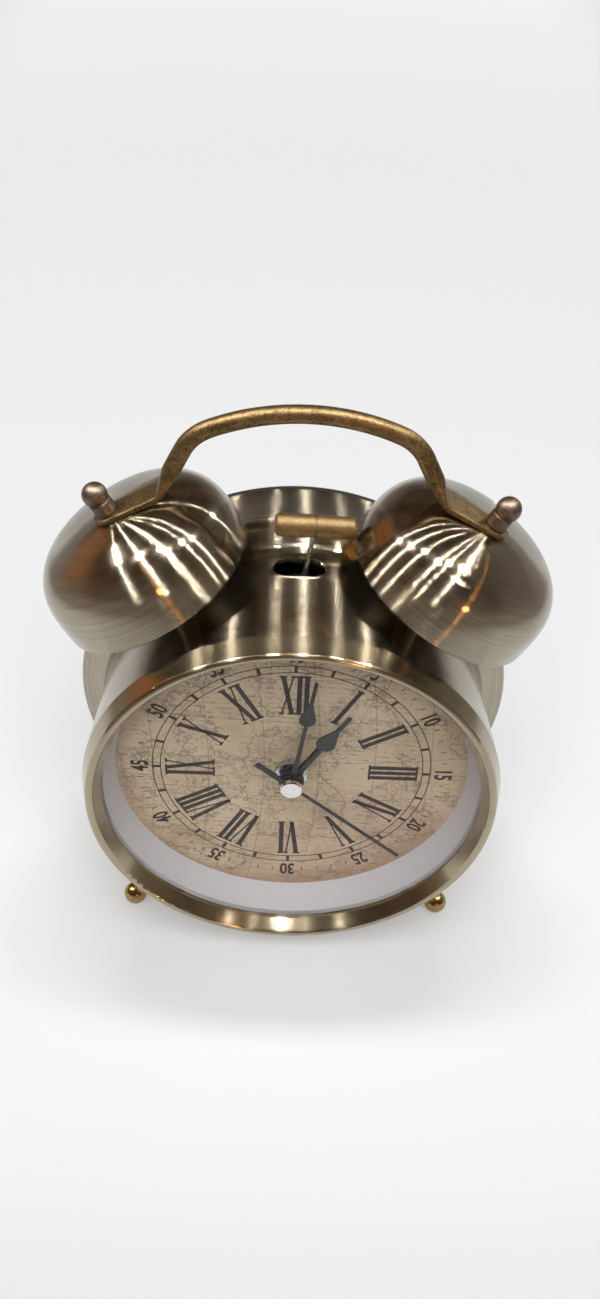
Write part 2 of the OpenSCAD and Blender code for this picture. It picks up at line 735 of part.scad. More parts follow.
module hammer_bracket() color(steel) clock() difference() {
    union() {
        at(-bracket_w / 2, move_w / 2 + bracket_foot_t, plate_back + 1)
            cube([bracket_w, bracket_foot_t, bracket_back - plate_back - 1]);
        for (d = [bracket_front, bracket_back - wing_t]) {
            at(-wing_w / 2, pivot_up, d) cube([wing_w, pivot_up - move_w / 2 - eps, wing_t]);
            at(0, pivot_up, d) cylinder(r = wing_w / 2, h = wing_t);
        }
    }
    at(0, pivot_up, 0) rod(pivot_r, bracket_front - 1, bracket_back + 1);
    at(0, crank_up, 0) rod(shaft_r + fit, bracket_back - wing_t - 1, bracket_back + 1);
    at(0, crank_up, 0) rod(crank_r, bracket_front - 1, bracket_front + wing_t + 1);
}

module hammer_pin() color(steel) clock() at(0, pivot_up, 0)
    rod(pivot_r, bracket_front - 0.6, bracket_back + 0.6);

// The hammer's own frame has the pivot as origin, the rod up its -Y and the axis of the dial as Z
module hammer_frame() clock() at(0, pivot_up, strike_depth) rotate([0, 0, lean]) children();
module hammer_rod() color(steel) hammer_frame() difference() {
    union() {
        rod(hub_r, -hub_len / 2, hub_len / 2);
        rotate([90, 0, 0]) rod(wire_r, hub_r - 0.5, arm_len - head_r / 2);
        translate([-fork_w / 2, 0, -fork_t / 2]) cube([fork_w, pivot_up - fork_end, fork_t]);
    }
    rod(pivot_r + fit, -hub_len, hub_len);
    translate([-fork_slot / 2, pivot_up - crank_up - 2, -fork_t]) cube([fork_slot, 10, 2 * fork_t]);
}

module hammer_head() color(gold_brass) hammer_frame() translate([0, -arm_len, 0])
    rotate([0, 0, head_droop - lean]) rotate([0, 90, 0]) difference() {
        rotate_extrude() polygon([
            [0, -head_len / 2], [head_r - 0.7, -head_len / 2], [head_r, 0.7 - head_len / 2],
            [head_r, head_len / 2 - 0.7], [head_r - 0.7, head_len / 2], [0, head_len / 2]
        ]);
        tube(head_r + 1, head_r - 0.25, -0.2, 0.2);
        rotate([0, -90, 0]) rotate([0, 0, lean - head_droop]) rotate([-90, 0, 0])
            rod(wire_r, -head_r / 2 - eps, head_r + 1);
    }

module strike_motor() color(steel) clock() at(0, crank_up, 0) difference() {
    union() {
        rod(motor_r, bracket_back, bracket_back + motor_len);
        rod(2.5, bracket_back + motor_len - eps, bracket_back + motor_len + 1.5);
    }
    rod(shaft_r + fit, bracket_back - 1, bracket_back + 9);
}

// The crank stands at the end of its throw, because the hammer rests against the right of its swing
fork_back = strike_depth + fork_t / 2;
module motor_crank() color(steel) clock() at(0, crank_up, 0) {
    rod(shaft_r, fork_back + gap, bracket_back + 8);
    rod(crank_r, fork_back + gap, fork_back + gap + crank_t);
    at(-crank_throw, 0, 0) rod(crank_pin_r, strike_depth - fork_t / 2 - gap, fork_back + gap + eps);
}

// Movement

module square_plate(w, t, from) translate([-w / 2, -w / 2, from]) cube([w, w, t]);
module corners() for (x = [-1, 1]) for (y = [-1, 1])
    translate([x * corner_pos, y * corner_pos, 0]) children();
module set_holes(from, to) for (s = [-1, 1]) at(s * set_dist, 0, 0) rod(arbor_r + fit, from, to);

module movement_front() color(black) clock() difference() {
    union() {
        square_plate(move_w, plate_t, plate_front);
        rod(bush_out, -bush_front, plate_front + eps);
    }
    rod(bush_in, -bush_front - 1, plate_back + 1);
    set_holes(plate_front - 1, plate_back + 1);
    at(0, third_dist, 0) rod(pivot_fit_r + fit, plate_front - 1, plate_back + 1);
    corners() rod(case_screw_r, plate_front + 0.4, plate_back + 1);
}

module movement_case() color(black) clock() difference() {
    union() {
        difference() {
            square_plate(move_w, move_back - plate_back, plate_back);
            square_plate(move_w - 2 * move_wall, back_wall - plate_back + 1, plate_back - 1);
        }
        corners() translate([-corner / 2, -corner / 2, plate_back])
            cube([corner, corner, back_wall - plate_back + eps]);
        for (s = [-1, 1]) {
            at(s * (move_w / 2 - move_wall - 1), 0, mid_plate + wheel_t) plate_rib();
            at(s * 10, rotor_up + 2, 0) rod(1.5, stator_back, back_wall + eps);
            at(s * board_post, board_up - board_h / 2, 0) rod(1.5, board_back, back_wall + eps);
        }
    }
    rod(second_r + fit, back_wall - 1, move_back + 1);
    set_holes(back_wall - 1, move_back + 1);
    at(0, -step_dist, 0) rod(pivot_fit_r + fit, back_wall - 1, move_back + 1);
    at(0, -step_dist - rotor_dist, 0) rod(pivot_fit_r + fit, back_wall - 1, move_back + 1);
    corners() {
        rod(case_screw_r + fit, plate_back - 1, move_back + 1);
        rod(2, move_back - 0.9, move_back + 1);
    }
}
module plate_rib() translate([-1 - eps, -6, 0])
    cube([2 + 2 * eps, 12, back_wall - mid_plate - wheel_t + eps]);

module movement_screws() color(steel) clock() corners() {
    rod(case_screw_r, plate_front + 0.6, move_back - 0.5);
    rod(1.9, move_back - 0.9, move_back);
}

module middle_plate() color(white) clock() difference() {
    square_plate(move_w - 2 * move_wall - 2 * gap, wheel_t, mid_plate);
    corners() translate([-corner / 2 - gap, -corner / 2 - gap, mid_plate - 1])
        cube([corner + 2 * gap, corner + 2 * gap, wheel_t + 2]);
    rod(second_r + fit, mid_plate - 1, mid_plate + wheel_t + 1);
    set_holes(mid_plate - 1, mid_plate + wheel_t + 1);
    at(0, third_dist, 0) rod(pivot_fit_r + fit, mid_plate - 1, mid_plate + wheel_t + 1);
    at(0, -step_dist, 0) rod(pivot_fit_r + fit, mid_plate - 1, mid_plate + wheel_t + 1);
    at(0, -step_dist - rotor_dist, 0) rod(pivot_fit_r + fit, mid_plate - 1, mid_plate + wheel_t + 1);
}

module dial_nut() color(steel) clock() difference() {
    rod(centre_nut_r, -nut_front, 0);
    rod(bush_out, -nut_front - 1, 1);
}

module circuit_board() color([0.10, 0.35, 0.18]) clock()
    at(-board_w / 2, board_up, board_back - board_t) cube([board_w, board_h, board_t]);

module stator_plate() color(steel) clock() difference() {
    at(-stator_w / 2, stator_top, stator_front) cube([stator_w, stator_top - stator_low, wheel_t]);
    at(stator_arm - stator_w / 2, rotor_up - 4.2, stator_front - 1)
        cube([stator_w - 2 * stator_arm, stator_top - stator_low, wheel_t + 2]);
    at(0, rotor_up, 0) rod(magnet_r + 0.4, stator_front - 1, stator_back + 1);
}

module drive_coil() color([0.72, 0.38, 0.16]) clock()
    at(0, coil_up, stator_back + core_t / 2) rotate([0, 90, 0]) {
        rod(coil_r, -coil_len / 2, coil_len / 2);
        for (s = [-1, 1]) translate([0, 0, s * (coil_len / 2 - core_t / 2)])
            cylinder(r = bobbin_r, h = core_t, center = true);
        cube([core_t, 2 * core_t, stator_w], center = true);
    }

module rotor() color(black) clock() at(0, rotor_up, 0) {
    rod(pivot_fit_r, mid_plate, move_back - 0.4);
    rod(magnet_r, mid_plate + wheel_t + gap, stator_back + 0.2);
    pinion(7, rotor_n, rotor_dist, step_n, 90 + 180 / rotor_n);
}

module step_wheel() color(gear_plastic) clock() at(0, -step_dist, 0) {
    rod(pivot_fit_r, mid_plate, move_back - 0.4);
    wheel(7, step_n, rotor_dist, rotor_n, 90);
    pinion(6, step_pinion_n, step_dist, second_n, 90 + 180 / step_pinion_n);
}

module seconds_wheel() color(gear_plastic) clock() {
    rod(second_r, -cap_front + 0.6, move_back - 0.4);
    wheel(6, second_n, step_dist, step_pinion_n, 90);
    pinion(4, second_pinion_n, third_dist, third_n, 270);
}

module third_wheel() color(gear_plastic) clock() at(0, third_dist, 0) {
    rod(pivot_fit_r, plate_front + 0.4, mid_plate + wheel_t);
    wheel(4, third_n, third_dist, second_pinion_n, 90 + 180 / third_n);
    pinion(3, third_pinion_n, third_dist, centre_n, 90 + 180 / third_pinion_n);
}

module centre_wheel() color(gear_plastic) clock() difference() {
    union() {
        rod(minute_out, -minute_hand_d, lay(3) + wheel_t);
        wheel(3, centre_n, third_dist, third_pinion_n, 270);
        pinion(2, cannon_n, set_dist, minute_n, 180);
    }
    rod(minute_in, -minute_hand_d - 1, lay(4));
}

module minute_wheel() color(gear_plastic) clock() at(-set_dist, 0, 0) {
    rod(arbor_r, plate_front + 0.3, knob_end - 2);
    wheel(2, minute_n, set_dist, cannon_n, 180 / minute_n);
    pinion(1, minute_pinion_n, set_dist, hour_n, 180 / minute_pinion_n);
}

module hour_wheel() color(gear_plastic) clock() difference() {
    union() {
        rod(hour_out, -hour_hand_d, lay(1) + wheel_t);
        wheel(1, hour_n, set_dist, minute_pinion_n, 180);
    }
    rod(hour_in, -hour_hand_d - 1, lay(2));
}

module alarm_wheel() color(gear_plastic) clock() difference() {
    union() {
        rod(alarm_out, -alarm_hand_d, lay(0) + wheel_t);
        wheel(0, alarm_n, set_dist, alarm_pinion_n, 0);
    }
    rod(alarm_in, -alarm_hand_d - 1, lay(1));
}

module alarm_pinion() color(gear_plastic) clock() at(set_dist, 0, 0) {
    rod(arbor_r, plate_front + 0.3, knob_end - 2);
    pinion(0, alarm_pinion_n, set_dist, alarm_n, 180 + 180 / alarm_pinion_n);
}

// Hands, drawn pointing up and turned clockwise to their rest angles

module strip(w, from, to) translate([-w / 2, -to]) square([w, to - from]);
// One side of a spade blade from hub to tip: stem, bulb drawn out to a point, tip
function blade_side(w, bulb, bulb_at, neck_at, tip_at) = let (foot = asin(w / 2 / bulb)) concat(
    [[w / 2, 0]],
    [for (i = [0 : 12]) let (a = foot + (105 - foot) * i / 12) [bulb * sin(a), bulb_at - bulb * cos(a)]],
    [[w / 2, neck_at], [w / 2, tip_at]]
);
module spade(w, bulb, bulb_at, neck_at, tip_at) {
    side = blade_side(w, bulb, bulb_at, neck_at, tip_at);
    polygon([for (q = concat(side, reversed([for (q = side) [-q[0], q[1]]]))) [q[0], -q[1]]]);
}
module placed_hand(angle, depth, t) clock()
    rotate([0, 0, angle]) translate([0, 0, -depth]) linear_extrude(t) children();

module hour_hand() color(black) {
    placed_hand(hour_angle, hour_hand_d, hand_t) difference() {
        spade(hour_w, hour_bulb, hour_len - 10.5, hour_len - 5.5, hour_len);
        circle(r = 2.4);
    }
    clock() tube(3.2, hour_out, -hour_hand_d, -hour_hand_d + 0.8);
}

module minute_hand() color(black) {
    placed_hand(minute_angle, minute_hand_d, hand_t) difference() {
        spade(minute_w, minute_bulb, minute_len - 12, minute_len - 6.5, minute_len);
        circle(r = 2);
    }
    clock() tube(2.8, minute_out, -minute_hand_d, -minute_hand_d + 1);
}

module alarm_hand() color(black) {
    placed_hand(hour_angle, alarm_hand_d, hand_t) difference() {
        union() {
            circle(r = 2.6);
            strip(alarm_w, 0, alarm_len);
        }
        circle(r = alarm_out);
    }
}

module second_hand() color(black) {
    placed_hand(second_angle, second_hand_d, hand_t) difference() {
        union() {
            circle(r = 1.6);
            strip(second_w, 0, second_len);
            strip(tail_w, -second_tail, 0);
        }
        circle(r = second_r);
    }
}

module second_cap() color(steel) clock() difference() {
    union() {
        rod(cap_r, -cap_front, -second_hand_d - 0.5);
        rod(cap_r - 0.5, -second_hand_d - 0.5 - eps, -second_hand_d);
    }
    rod(second_r, -cap_front + 0.6, 0);
}

case_drum();
front_bezel();
lens_glass();
reflector_ring();
dial_plate();
dial_carrier();
dial_lamps();
rear_cover();
rear_screws();
battery_door();
battery_contacts();
alarm_switch();
light_button();
left_foot();
right_foot();
left_post();
right_post();
post_nuts();
left_bell();
right_bell();
handle();
left_finial();
right_finial();
hammer_bracket();
hammer_pin();
hammer_rod();
hammer_head();
strike_motor();
motor_crank();
movement_front();
movement_case();
movement_screws();
middle_plate();
dial_nut();
circuit_board();
stator_plate();
drive_coil();
rotor();
step_wheel();
seconds_wheel();
third_wheel();
centre_wheel();
minute_wheel();
hour_wheel();
alarm_wheel();
alarm_pinion();
alarm_hand();
hour_hand();
minute_hand();
second_hand();
second_cap();
time_knob();
alarm_knob();
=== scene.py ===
import bpy
import json
import math
from mathutils import Matrix, Vector


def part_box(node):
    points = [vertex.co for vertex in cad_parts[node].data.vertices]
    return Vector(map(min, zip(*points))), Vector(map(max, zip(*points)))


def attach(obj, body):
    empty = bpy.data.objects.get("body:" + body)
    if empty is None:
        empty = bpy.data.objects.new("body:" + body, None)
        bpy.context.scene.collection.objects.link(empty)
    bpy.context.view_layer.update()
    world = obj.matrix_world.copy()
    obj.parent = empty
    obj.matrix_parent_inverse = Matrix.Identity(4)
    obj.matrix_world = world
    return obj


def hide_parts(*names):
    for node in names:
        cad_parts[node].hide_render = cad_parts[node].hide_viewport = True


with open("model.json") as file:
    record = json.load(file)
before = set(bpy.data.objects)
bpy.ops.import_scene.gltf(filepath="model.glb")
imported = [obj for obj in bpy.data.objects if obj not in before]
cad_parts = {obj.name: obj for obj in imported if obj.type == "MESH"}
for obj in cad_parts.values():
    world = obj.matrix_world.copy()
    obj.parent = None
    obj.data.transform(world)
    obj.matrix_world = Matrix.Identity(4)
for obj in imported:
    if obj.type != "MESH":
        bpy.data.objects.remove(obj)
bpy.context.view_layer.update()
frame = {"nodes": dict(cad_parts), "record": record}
cadNodes = frame["nodes"]
mm = 0.001
dialLow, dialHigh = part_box("dial_plate")
dialFace = dialLow[1]
axisHeight = (dialLow[2] + dialHigh[2]) / 2
dialMiddle = Vector((0, dialFace, axisHeight))
strikeDepth = 18  # plane of bells, handle and hammer behind the dial, in mm
strikeY = dialFace + strikeDepth * mm
print("frame loaded,", len(cadNodes), "nodes")


# wraps a node output, so that sums of values read as sums
class Wire:
    def __init__(self, tree, socket=None):
        self.tree = tree
        self.socket = socket

    def node(self, kind, settings=None, inputs=None, out=0):
        made = self.tree.nodes.new(kind)
        for key, value in (settings or {}).items():
            if key == "stops":
                ramp = made.color_ramp
                while len(ramp.elements) < len(value):
                    ramp.elements.new(0.5)
                for stop, (place, colour) in zip(ramp.elements, value):
                    stop.position = place
                    stop.color = (*colour, 1)
            else:
                setattr(made, key, value)
        for key, value in (inputs or {}).items():
            if isinstance(value, Wire):
                self.tree.links.new(value.socket, made.inputs[key])
            else:
                made.inputs[key].default_value = value
        return Wire(self.tree, made.outputs[out] if made.outputs else None)

    def math(self, operation, *values):
        return self.node("ShaderNodeMath", {"operation": operation}, dict(enumerate(values)))

    def vector(self, operation, a, b=None, out=0):
        inputs = {0: a} if b is None else {0: a, 1: b}
        return self.node("ShaderNodeVectorMath", {"operation": operation}, inputs, out)

    def scaled(self, way, size):
        return self.node("ShaderNodeVectorMath", {"operation": "SCALE"}, {0: way, "Scale": size})

    def mix(self, share, a, b):
        return self.node("ShaderNodeMix", {"data_type": "RGBA"}, {0: share, 6: rgba(a), 7: rgba(b)}, 2)

    def noise(self, place, scale, detail=2.0, rough=0.5):
        inputs = {"Vector": place, "Scale": scale, "Detail": detail, "Roughness": rough}
        return self.node("ShaderNodeTexNoise", None, inputs, "Fac")

    def ramp(self, stops):
        return self.node("ShaderNodeValToRGB", {"stops": stops}, {"Fac": self})

    def step(self, low, high):
        inputs = {"Value": self, "From Min": low, "From Max": high}
        return self.node("ShaderNodeMapRange", {"interpolation_type": "SMOOTHSTEP"}, inputs)

    def __add__(self, other):
        return self.math("ADD", self, other)

    def __radd__(self, other):
        return self.math("ADD", other, self)

    def __sub__(self, other):
        return self.math("SUBTRACT", self, other)

    def __rsub__(self, other):
        return self.math("SUBTRACT", other, self)

    def __mul__(self, other):
        return self.math("MULTIPLY", self, other)

    def __rmul__(self, other):
        return self.math("MULTIPLY", other, self)


def rgba(colour):
    return colour if isinstance(colour, Wire) else (*colour[:3], 1)


def newMaterial(name):
    material = bpy.data.materials.new(name)
    material.use_nodes = True
    material.node_tree.nodes.clear()
    return material, Wire(material.node_tree)


def closeMaterial(wire, shader):
    wire.node("ShaderNodeOutputMaterial", None, {"Surface": shader})


# Materials

# lobes of the scratches across the turned lines, as (lean, width, share), on both sides
fanEdges = (0, 0.10, 0.20, 0.31, 0.43, 0.57, 0.74, 0.95, 1.22)
fan = [((a + b) / 2, b - a, (b - a) / (1 + ((a + b) / 1.1) ** 2)) for a, b in zip(fanEdges, fanEdges[1:])]
brassLook = {
    "case": {"dark": (0.30, 0.265, 0.20), "light": (0.46, 0.42, 0.335), "lines": 1.1,
             "mirror": 1.5, "mirrorRough": 0.12, "rough": 0.12, "fan": fan},
    "bell": {"dark": (0.30, 0.26, 0.195), "light": (0.45, 0.405, 0.325), "lines": 1.2,
             "mirror": 1.2, "mirrorRough": 0.10, "rough": 0.085, "fan": fan},
    "bezel": {"dark": (0.33, 0.28, 0.19), "light": (0.47, 0.41, 0.30), "lines": 0.8,
              "mirror": 3.6, "mirrorRough": 0.13, "rough": 0.15, "fan": fan[:5]},
}
brassGrain = {"drift": 25, "wander": 0.0012, "scratch": 9000, "lines": 3400, "cloud": 60, "scuff": 800}


def turnedBrass(name, look, middle, axis, dome=None):
    # turned lines run round the axis, so each point mirrors the room and smears it in a fan across them
    material, wire = newMaterial(name)
    axis = tuple(axis)
    place = wire.node("ShaderNodeTexCoord", None, None, "Object")
    normal = wire.node("ShaderNodeNewGeometry", None, None, "Normal")
    offset = wire.vector("SUBTRACT", place, tuple(middle))
    along = wire.vector("DOT_PRODUCT", offset, axis, "Value")
    radial = wire.vector("SUBTRACT", offset, wire.scaled(axis, along))
    out = wire.vector("LENGTH", radial, out="Value")
    roundWay = wire.vector("NORMALIZE", wire.vector("CROSS_PRODUCT", axis, radial))
    if dome:
        # the crown mirrors as a round dome
        centre, full, none = dome
        bulge = wire.vector("NORMALIZE", wire.vector("SUBTRACT", place, tuple(centre)))
        share = 1 - out.step(full, none)
        flat, domed = wire.scaled(normal, 1 - share), wire.scaled(bulge, share)
        normal = wire.vector("NORMALIZE", wire.vector("ADD", flat, domed))
    across = wire.vector("CROSS_PRODUCT", roundWay, normal)
    drift = wire.noise(place, brassGrain["drift"], 1.0)
    groove = wire.node("ShaderNodeCombineXYZ", None, {0: along, 1: out, 2: drift * brassGrain["wander"]})
    spread = wire.math("FRACT", wire.noise(groove, brassGrain["scratch"], 2.0, 0.5) * 9) - 0.5
    lines = wire.noise(groove, brassGrain["lines"], 3.0, 0.65) - 0.5
    cloud = wire.noise(place, brassGrain["cloud"], 3.0, 0.55)
    scuff = wire.noise(place, brassGrain["scuff"], 3.0, 0.6)
    tone = (lines * look["lines"] + cloud * 0.6 + 0.2).step(0.1, 0.9)
    colour = wire.mix(tone, look["dark"], look["light"])
    wear = (scuff - 0.5) * 0.06 + (cloud - 0.5) * 0.05

    def lobe(lean, rough):
        tilted = wire.vector("NORMALIZE", wire.vector("ADD", normal, wire.scaled(across, lean)))
        return wire.node("ShaderNodeBsdfPrincipled", None, {
            "Base Color": colour, "Metallic": 1.0, "Roughness": rough + wear, "Normal": tilted})

    shader = lobe(lines * 0.05 + spread * 0.07, look["mirrorRough"])
    total = look["mirror"] * sum(2 * share for lean, width, share in look["fan"])
    for lean, width, share in look["fan"]:
        for side in (-1, 1):
            total += share
            leaf = lobe(spread * width + side * lean, look["rough"])
            shader = wire.node("ShaderNodeMixShader", None, {0: share / total, 1: shader, 2: leaf})
    closeMaterial(wire, shader)
    return material


def agedMetal(name, dark, light, rough, speck, scale=1400, bump=0.15):
    # cast or drawn metal: clouded tone, dark specks and a fine grain
    material, wire = newMaterial(name)
    place = wire.node("ShaderNodeTexCoord", None, None, "Object")
    cloud = wire.noise(place, scale * 0.12, 4.0, 0.6)
    grain = wire.noise(place, scale, 3.0, 0.65)
    pits = wire.noise(place, scale * 0.55, 2.0, 0.5).step(0.52, 0.66)
    colour = wire.mix((cloud * 0.7 + grain * 0.9 - 0.3).step(0.2, 0.8), dark, light)
    colour = wire.mix(pits * speck, colour, tuple(0.30 * c for c in dark))
    height = grain - pits * 0.6
    normal = wire.node("ShaderNodeBump", None, {"Strength": bump, "Distance": 0.0002, "Height": height})
    closeMaterial(wire, wire.node("ShaderNodeBsdfPrincipled", None, {
        "Base Color": colour, "Metallic": 1.0, "Roughness": rough + (grain - 0.5) * 0.2, "Normal": normal}))
    return material


def mouldedPlastic(name, colour, rough, grain=2600, bump=0.12):
    material, wire = newMaterial(name)
    place = wire.node("ShaderNodeTexCoord", None, None, "Object")
    skin = wire.noise(place, grain, 2.0, 0.6)
    cloud = wire.noise(place, 60, 3.0, 0.5)
    low = tuple(0.88 * c for c in colour)
    high = tuple(min(1, 1.06 * c) for c in colour)
    shade = wire.mix((cloud - 0.5) * 0.5 + 0.5, low, high)
    normal = wire.node("ShaderNodeBump", None, {"Strength": bump, "Distance": 0.0001, "Height": skin})
    closeMaterial(wire, wire.node("ShaderNodeBsdfPrincipled", None, {
        "Base Color": shade, "Roughness": rough + (skin - 0.5) * 0.15 + (cloud - 0.5) * 0.1, "Normal": normal}))
    return material


chartLook = {
    "paper": ((0.60, 0.47, 0.305), (0.77, 0.62, 0.415), (0.83, 0.69, 0.485)), "rose": (0.72, 0.50, 0.37),
    "ink": (0.20, 0.125, 0.085), "rust": (0.36, 0.17, 0.11), "stain": (0.36, 0.215, 0.12),
}


def chartPrint(name):
    # parchment with shore lines, contour lines, rows of dashes and a bowed grid, rosier towards the lower right
    material, wire = newMaterial(name)
    look = chartLook
    place = wire.node("ShaderNodeTexCoord", None, None, "Object")
    local = wire.vector("SUBTRACT", place, tuple(dialMiddle))
    x = wire.node("ShaderNodeSeparateXYZ", None, {0: local}, "X")
    z = wire.node("ShaderNodeSeparateXYZ", None, {0: local}, "Z")
    out = wire.vector("LENGTH", local, out="Value")
    stain = wire.noise(place, 42, 4.0, 0.6)
    fibre = wire.noise(place, 1500, 3.0, 0.6)
    blot = wire.noise(place, 26, 4.0, 0.62)
    paper = stain.ramp(list(zip((0.32, 0.48, 0.66), look["paper"])))
    rosy = (x * 11 - z * 15 + (blot - 0.5) * 2.6).step(0.0, 0.9)
    paper = wire.mix(rosy * 0.65, paper, look["rose"])
    ink = wire.mix(rosy * 0.7, look["ink"], look["rust"])

    def lineOn(field, middle, half):
        return 1 - wire.math("ABSOLUTE", field - middle).step(half * 0.5, half)

    def lattice(field, half):
        return 1 - wire.math("ABSOLUTE", wire.math("FRACT", field) - 0.5).step(half * 0.6, half)

    shore = wire.noise(wire.vector("ADD", place, (0.4, 0.2, 0.7)), 58, 6.0, 0.62)
    shores = wire.math("MAXIMUM", lineOn(shore, 0.5, 0.013), lineOn(shore, 0.468, 0.007) * 0.5)
    land = shore.step(0.50, 0.515)
    rise = wire.noise(wire.vector("ADD", place, (0.31, 0.17, 0.23)), 150, 4.0, 0.6)
    contour = lattice(rise * 9, 0.08) * land
    valley = wire.noise(wire.vector("ADD", place, (0.11, 0.57, 0.9)), 120, 5.0, 0.7)
    stream = lineOn(valley, 0.5, 0.020) * land
    broken = wire.noise(wire.vector("MULTIPLY", place, (1.0, 1.0, 4.0)), 420, 2.0, 0.6).step(0.53, 0.57)
    sparse = wire.noise(place, 75, 2.0).step(0.36, 0.54)
    dashes = lattice(z * 640 + x * 40, 0.17) * broken * sparse
    upright, level = lattice((x + z * z * 2.2) * 72, 0.013), lattice((z - x * x * 1.8) * 72 + 0.3, 0.013)
    grid = wire.math("MAXIMUM", upright, level)
    colour = paper
    for drawn, strength in ((grid, 0.40), (dashes, 0.62), (contour, 0.36), (stream, 0.40), (shores, 0.55)):
        colour = wire.mix(drawn * strength, colour, ink)
    rim = (out * 1000 + (blot - 0.5) * 22).step(38.0, 45.0)
    colour = wire.mix(rim * 0.55, colour, look["stain"])
    colour = wire.mix((fibre - 0.5) * 0.3 + 0.06, colour, look["stain"])
    closeMaterial(wire, wire.node("ShaderNodeBsdfPrincipled", None, {
        "Base Color": colour, "Roughness": 0.62 + (fibre - 0.5) * 0.2}))
    return material


def inkPrint(name):
    material, wire = newMaterial(name)
    place = wire.node("ShaderNodeTexCoord", None, None, "Object")
    wear = wire.noise(place, 900, 3.0, 0.6)
    colour = wire.mix(wear.step(0.45, 0.75), (0.030, 0.020, 0.017), (0.085, 0.058, 0.043))
    closeMaterial(wire, wire.node("ShaderNodeBsdfPrincipled", None, {
        "Base Color": colour, "Roughness": 0.55 + (wear - 0.5) * 0.3}))
    return material


def clearLens(name):
    material, wire = newMaterial(name)
    place = wire.node("ShaderNodeTexCoord", None, None, "Object")
    haze = wire.noise(place, 40, 3.0, 0.6)
    edge = wire.node("ShaderNodeLayerWeight", None, {"Blend": 0.14}, "Fresnel")
    through = wire.node("ShaderNodeBsdfTransparent", None, {"Color": (0.985, 0.985, 0.985, 1)})
    gloss = wire.node("ShaderNodeBsdfGlossy", None, {"Color": (1, 1, 1, 1), "Roughness": 0.03})
    share = edge * 0.4 + haze * 0.008
    closeMaterial(wire, wire.node("ShaderNodeMixShader", None, {0: share, 1: through, 2: gloss}))
    return material


# sizes in mm; the crown mirrors as a dome up to the first reach from the axis, and not past the second
bellForm = {"radius": 25.0, "height": 19.8, "wall": 1.0, "shoulder": 11.5, "skirt": 7.7, "hole": 1.7, "lip": 0.35,
            "ease": 9.0, "dome": 29.0, "domeReach": (14, 21), "tilt": 30.0, "direction": 36.4, "reach": 57.25}
bellTilt = math.radians(bellForm["tilt"])
bellAxis = Vector((math.sin(bellTilt), 0, math.cos(bellTilt)))
bellTurn = math.radians(bellForm["direction"])
bellWay = Vector((math.sin(bellTurn), 0, math.cos(bellTurn)))
bellMiddle = Vector((0, strikeY, axisHeight)) + bellForm["reach"] * mm * bellWay
domeMiddle = bellMiddle + (bellForm["height"] - bellForm["dome"]) * mm * bellAxis
mirrorX = Vector((-1, 1, 1))


def bellBrass(name, flip=Vector((1, 1, 1))):
    dome = (domeMiddle * flip, *(reach * mm for reach in bellForm["domeReach"]))
    return turnedBrass(name, brassLook["bell"], bellMiddle * flip, bellAxis * flip, dome)


finish = {
    "caseBrass": turnedBrass("caseBrass", brassLook["case"], dialMiddle, (0, 1, 0)),
    "bezelBrass": turnedBrass("bezelBrass", brassLook["bezel"], dialMiddle, (0, 1, 0)),
    "rightBellBrass": bellBrass("rightBellBrass"),
    "leftBellBrass": bellBrass("leftBellBrass", mirrorX),
    "trimBrass": agedMetal("trimBrass", (0.50, 0.44, 0.34), (0.64, 0.57, 0.45), 0.18, 0.1, 1600, 0.03),
    "handleBrass": agedMetal("handleBrass", (0.13, 0.090, 0.042), (0.30, 0.217, 0.108), 0.44, 0.6, 2600, 0.22),
    "postBrass": agedMetal("postBrass", (0.40, 0.31, 0.20), (0.60, 0.49, 0.34), 0.30, 0.3),
    "finialBrass": agedMetal("finialBrass", (0.155, 0.127, 0.098), (0.25, 0.207, 0.162), 0.44, 0.2, 2400, 0.10),
    "goldenBrass": agedMetal("goldenBrass", (0.185, 0.126, 0.060), (0.295, 0.216, 0.119), 0.58, 0.3, 2600, 0.10),
    "footBrass": agedMetal("footBrass", (0.30, 0.20, 0.075), (0.52, 0.37, 0.15), 0.22, 0.4, 1600, 0.08),
    "steel": agedMetal("steel", (0.52, 0.53, 0.54), (0.72, 0.73, 0.74), 0.28, 0.2, 1800, 0.08),
    "chrome": agedMetal("chrome", (0.74, 0.73, 0.71), (0.84, 0.835, 0.82), 0.12, 0.1, 2200, 0.02),
    "copper": agedMetal("copper", (0.45, 0.19, 0.08), (0.72, 0.36, 0.17), 0.32, 0.2),
    "magnet": agedMetal("magnet", (0.06, 0.06, 0.065), (0.12, 0.12, 0.125), 0.5, 0.3),
    "whitePlastic": mouldedPlastic("whitePlastic", (0.73, 0.725, 0.765), 0.42, 2400, 0.05),
    "blackPlastic": mouldedPlastic("blackPlastic", (0.022, 0.022, 0.024), 0.46, 1800, 0.25),
    "greyPlastic": mouldedPlastic("greyPlastic", (0.20, 0.20, 0.205), 0.45),
    "gearPlastic": mouldedPlastic("gearPlastic", (0.72, 0.69, 0.58), 0.40),
    "boardGreen": mouldedPlastic("boardGreen", (0.03, 0.14, 0.06), 0.38),
    "lampClear": mouldedPlastic("lampClear", (0.86, 0.86, 0.80), 0.22),
    "handBlack": mouldedPlastic("handBlack", (0.018, 0.019, 0.022), 0.34, 3000, 0.06),
    "chart": chartPrint("chart"),
    "ink": inkPrint("ink"),
    "lens": clearLens("lens"),
}
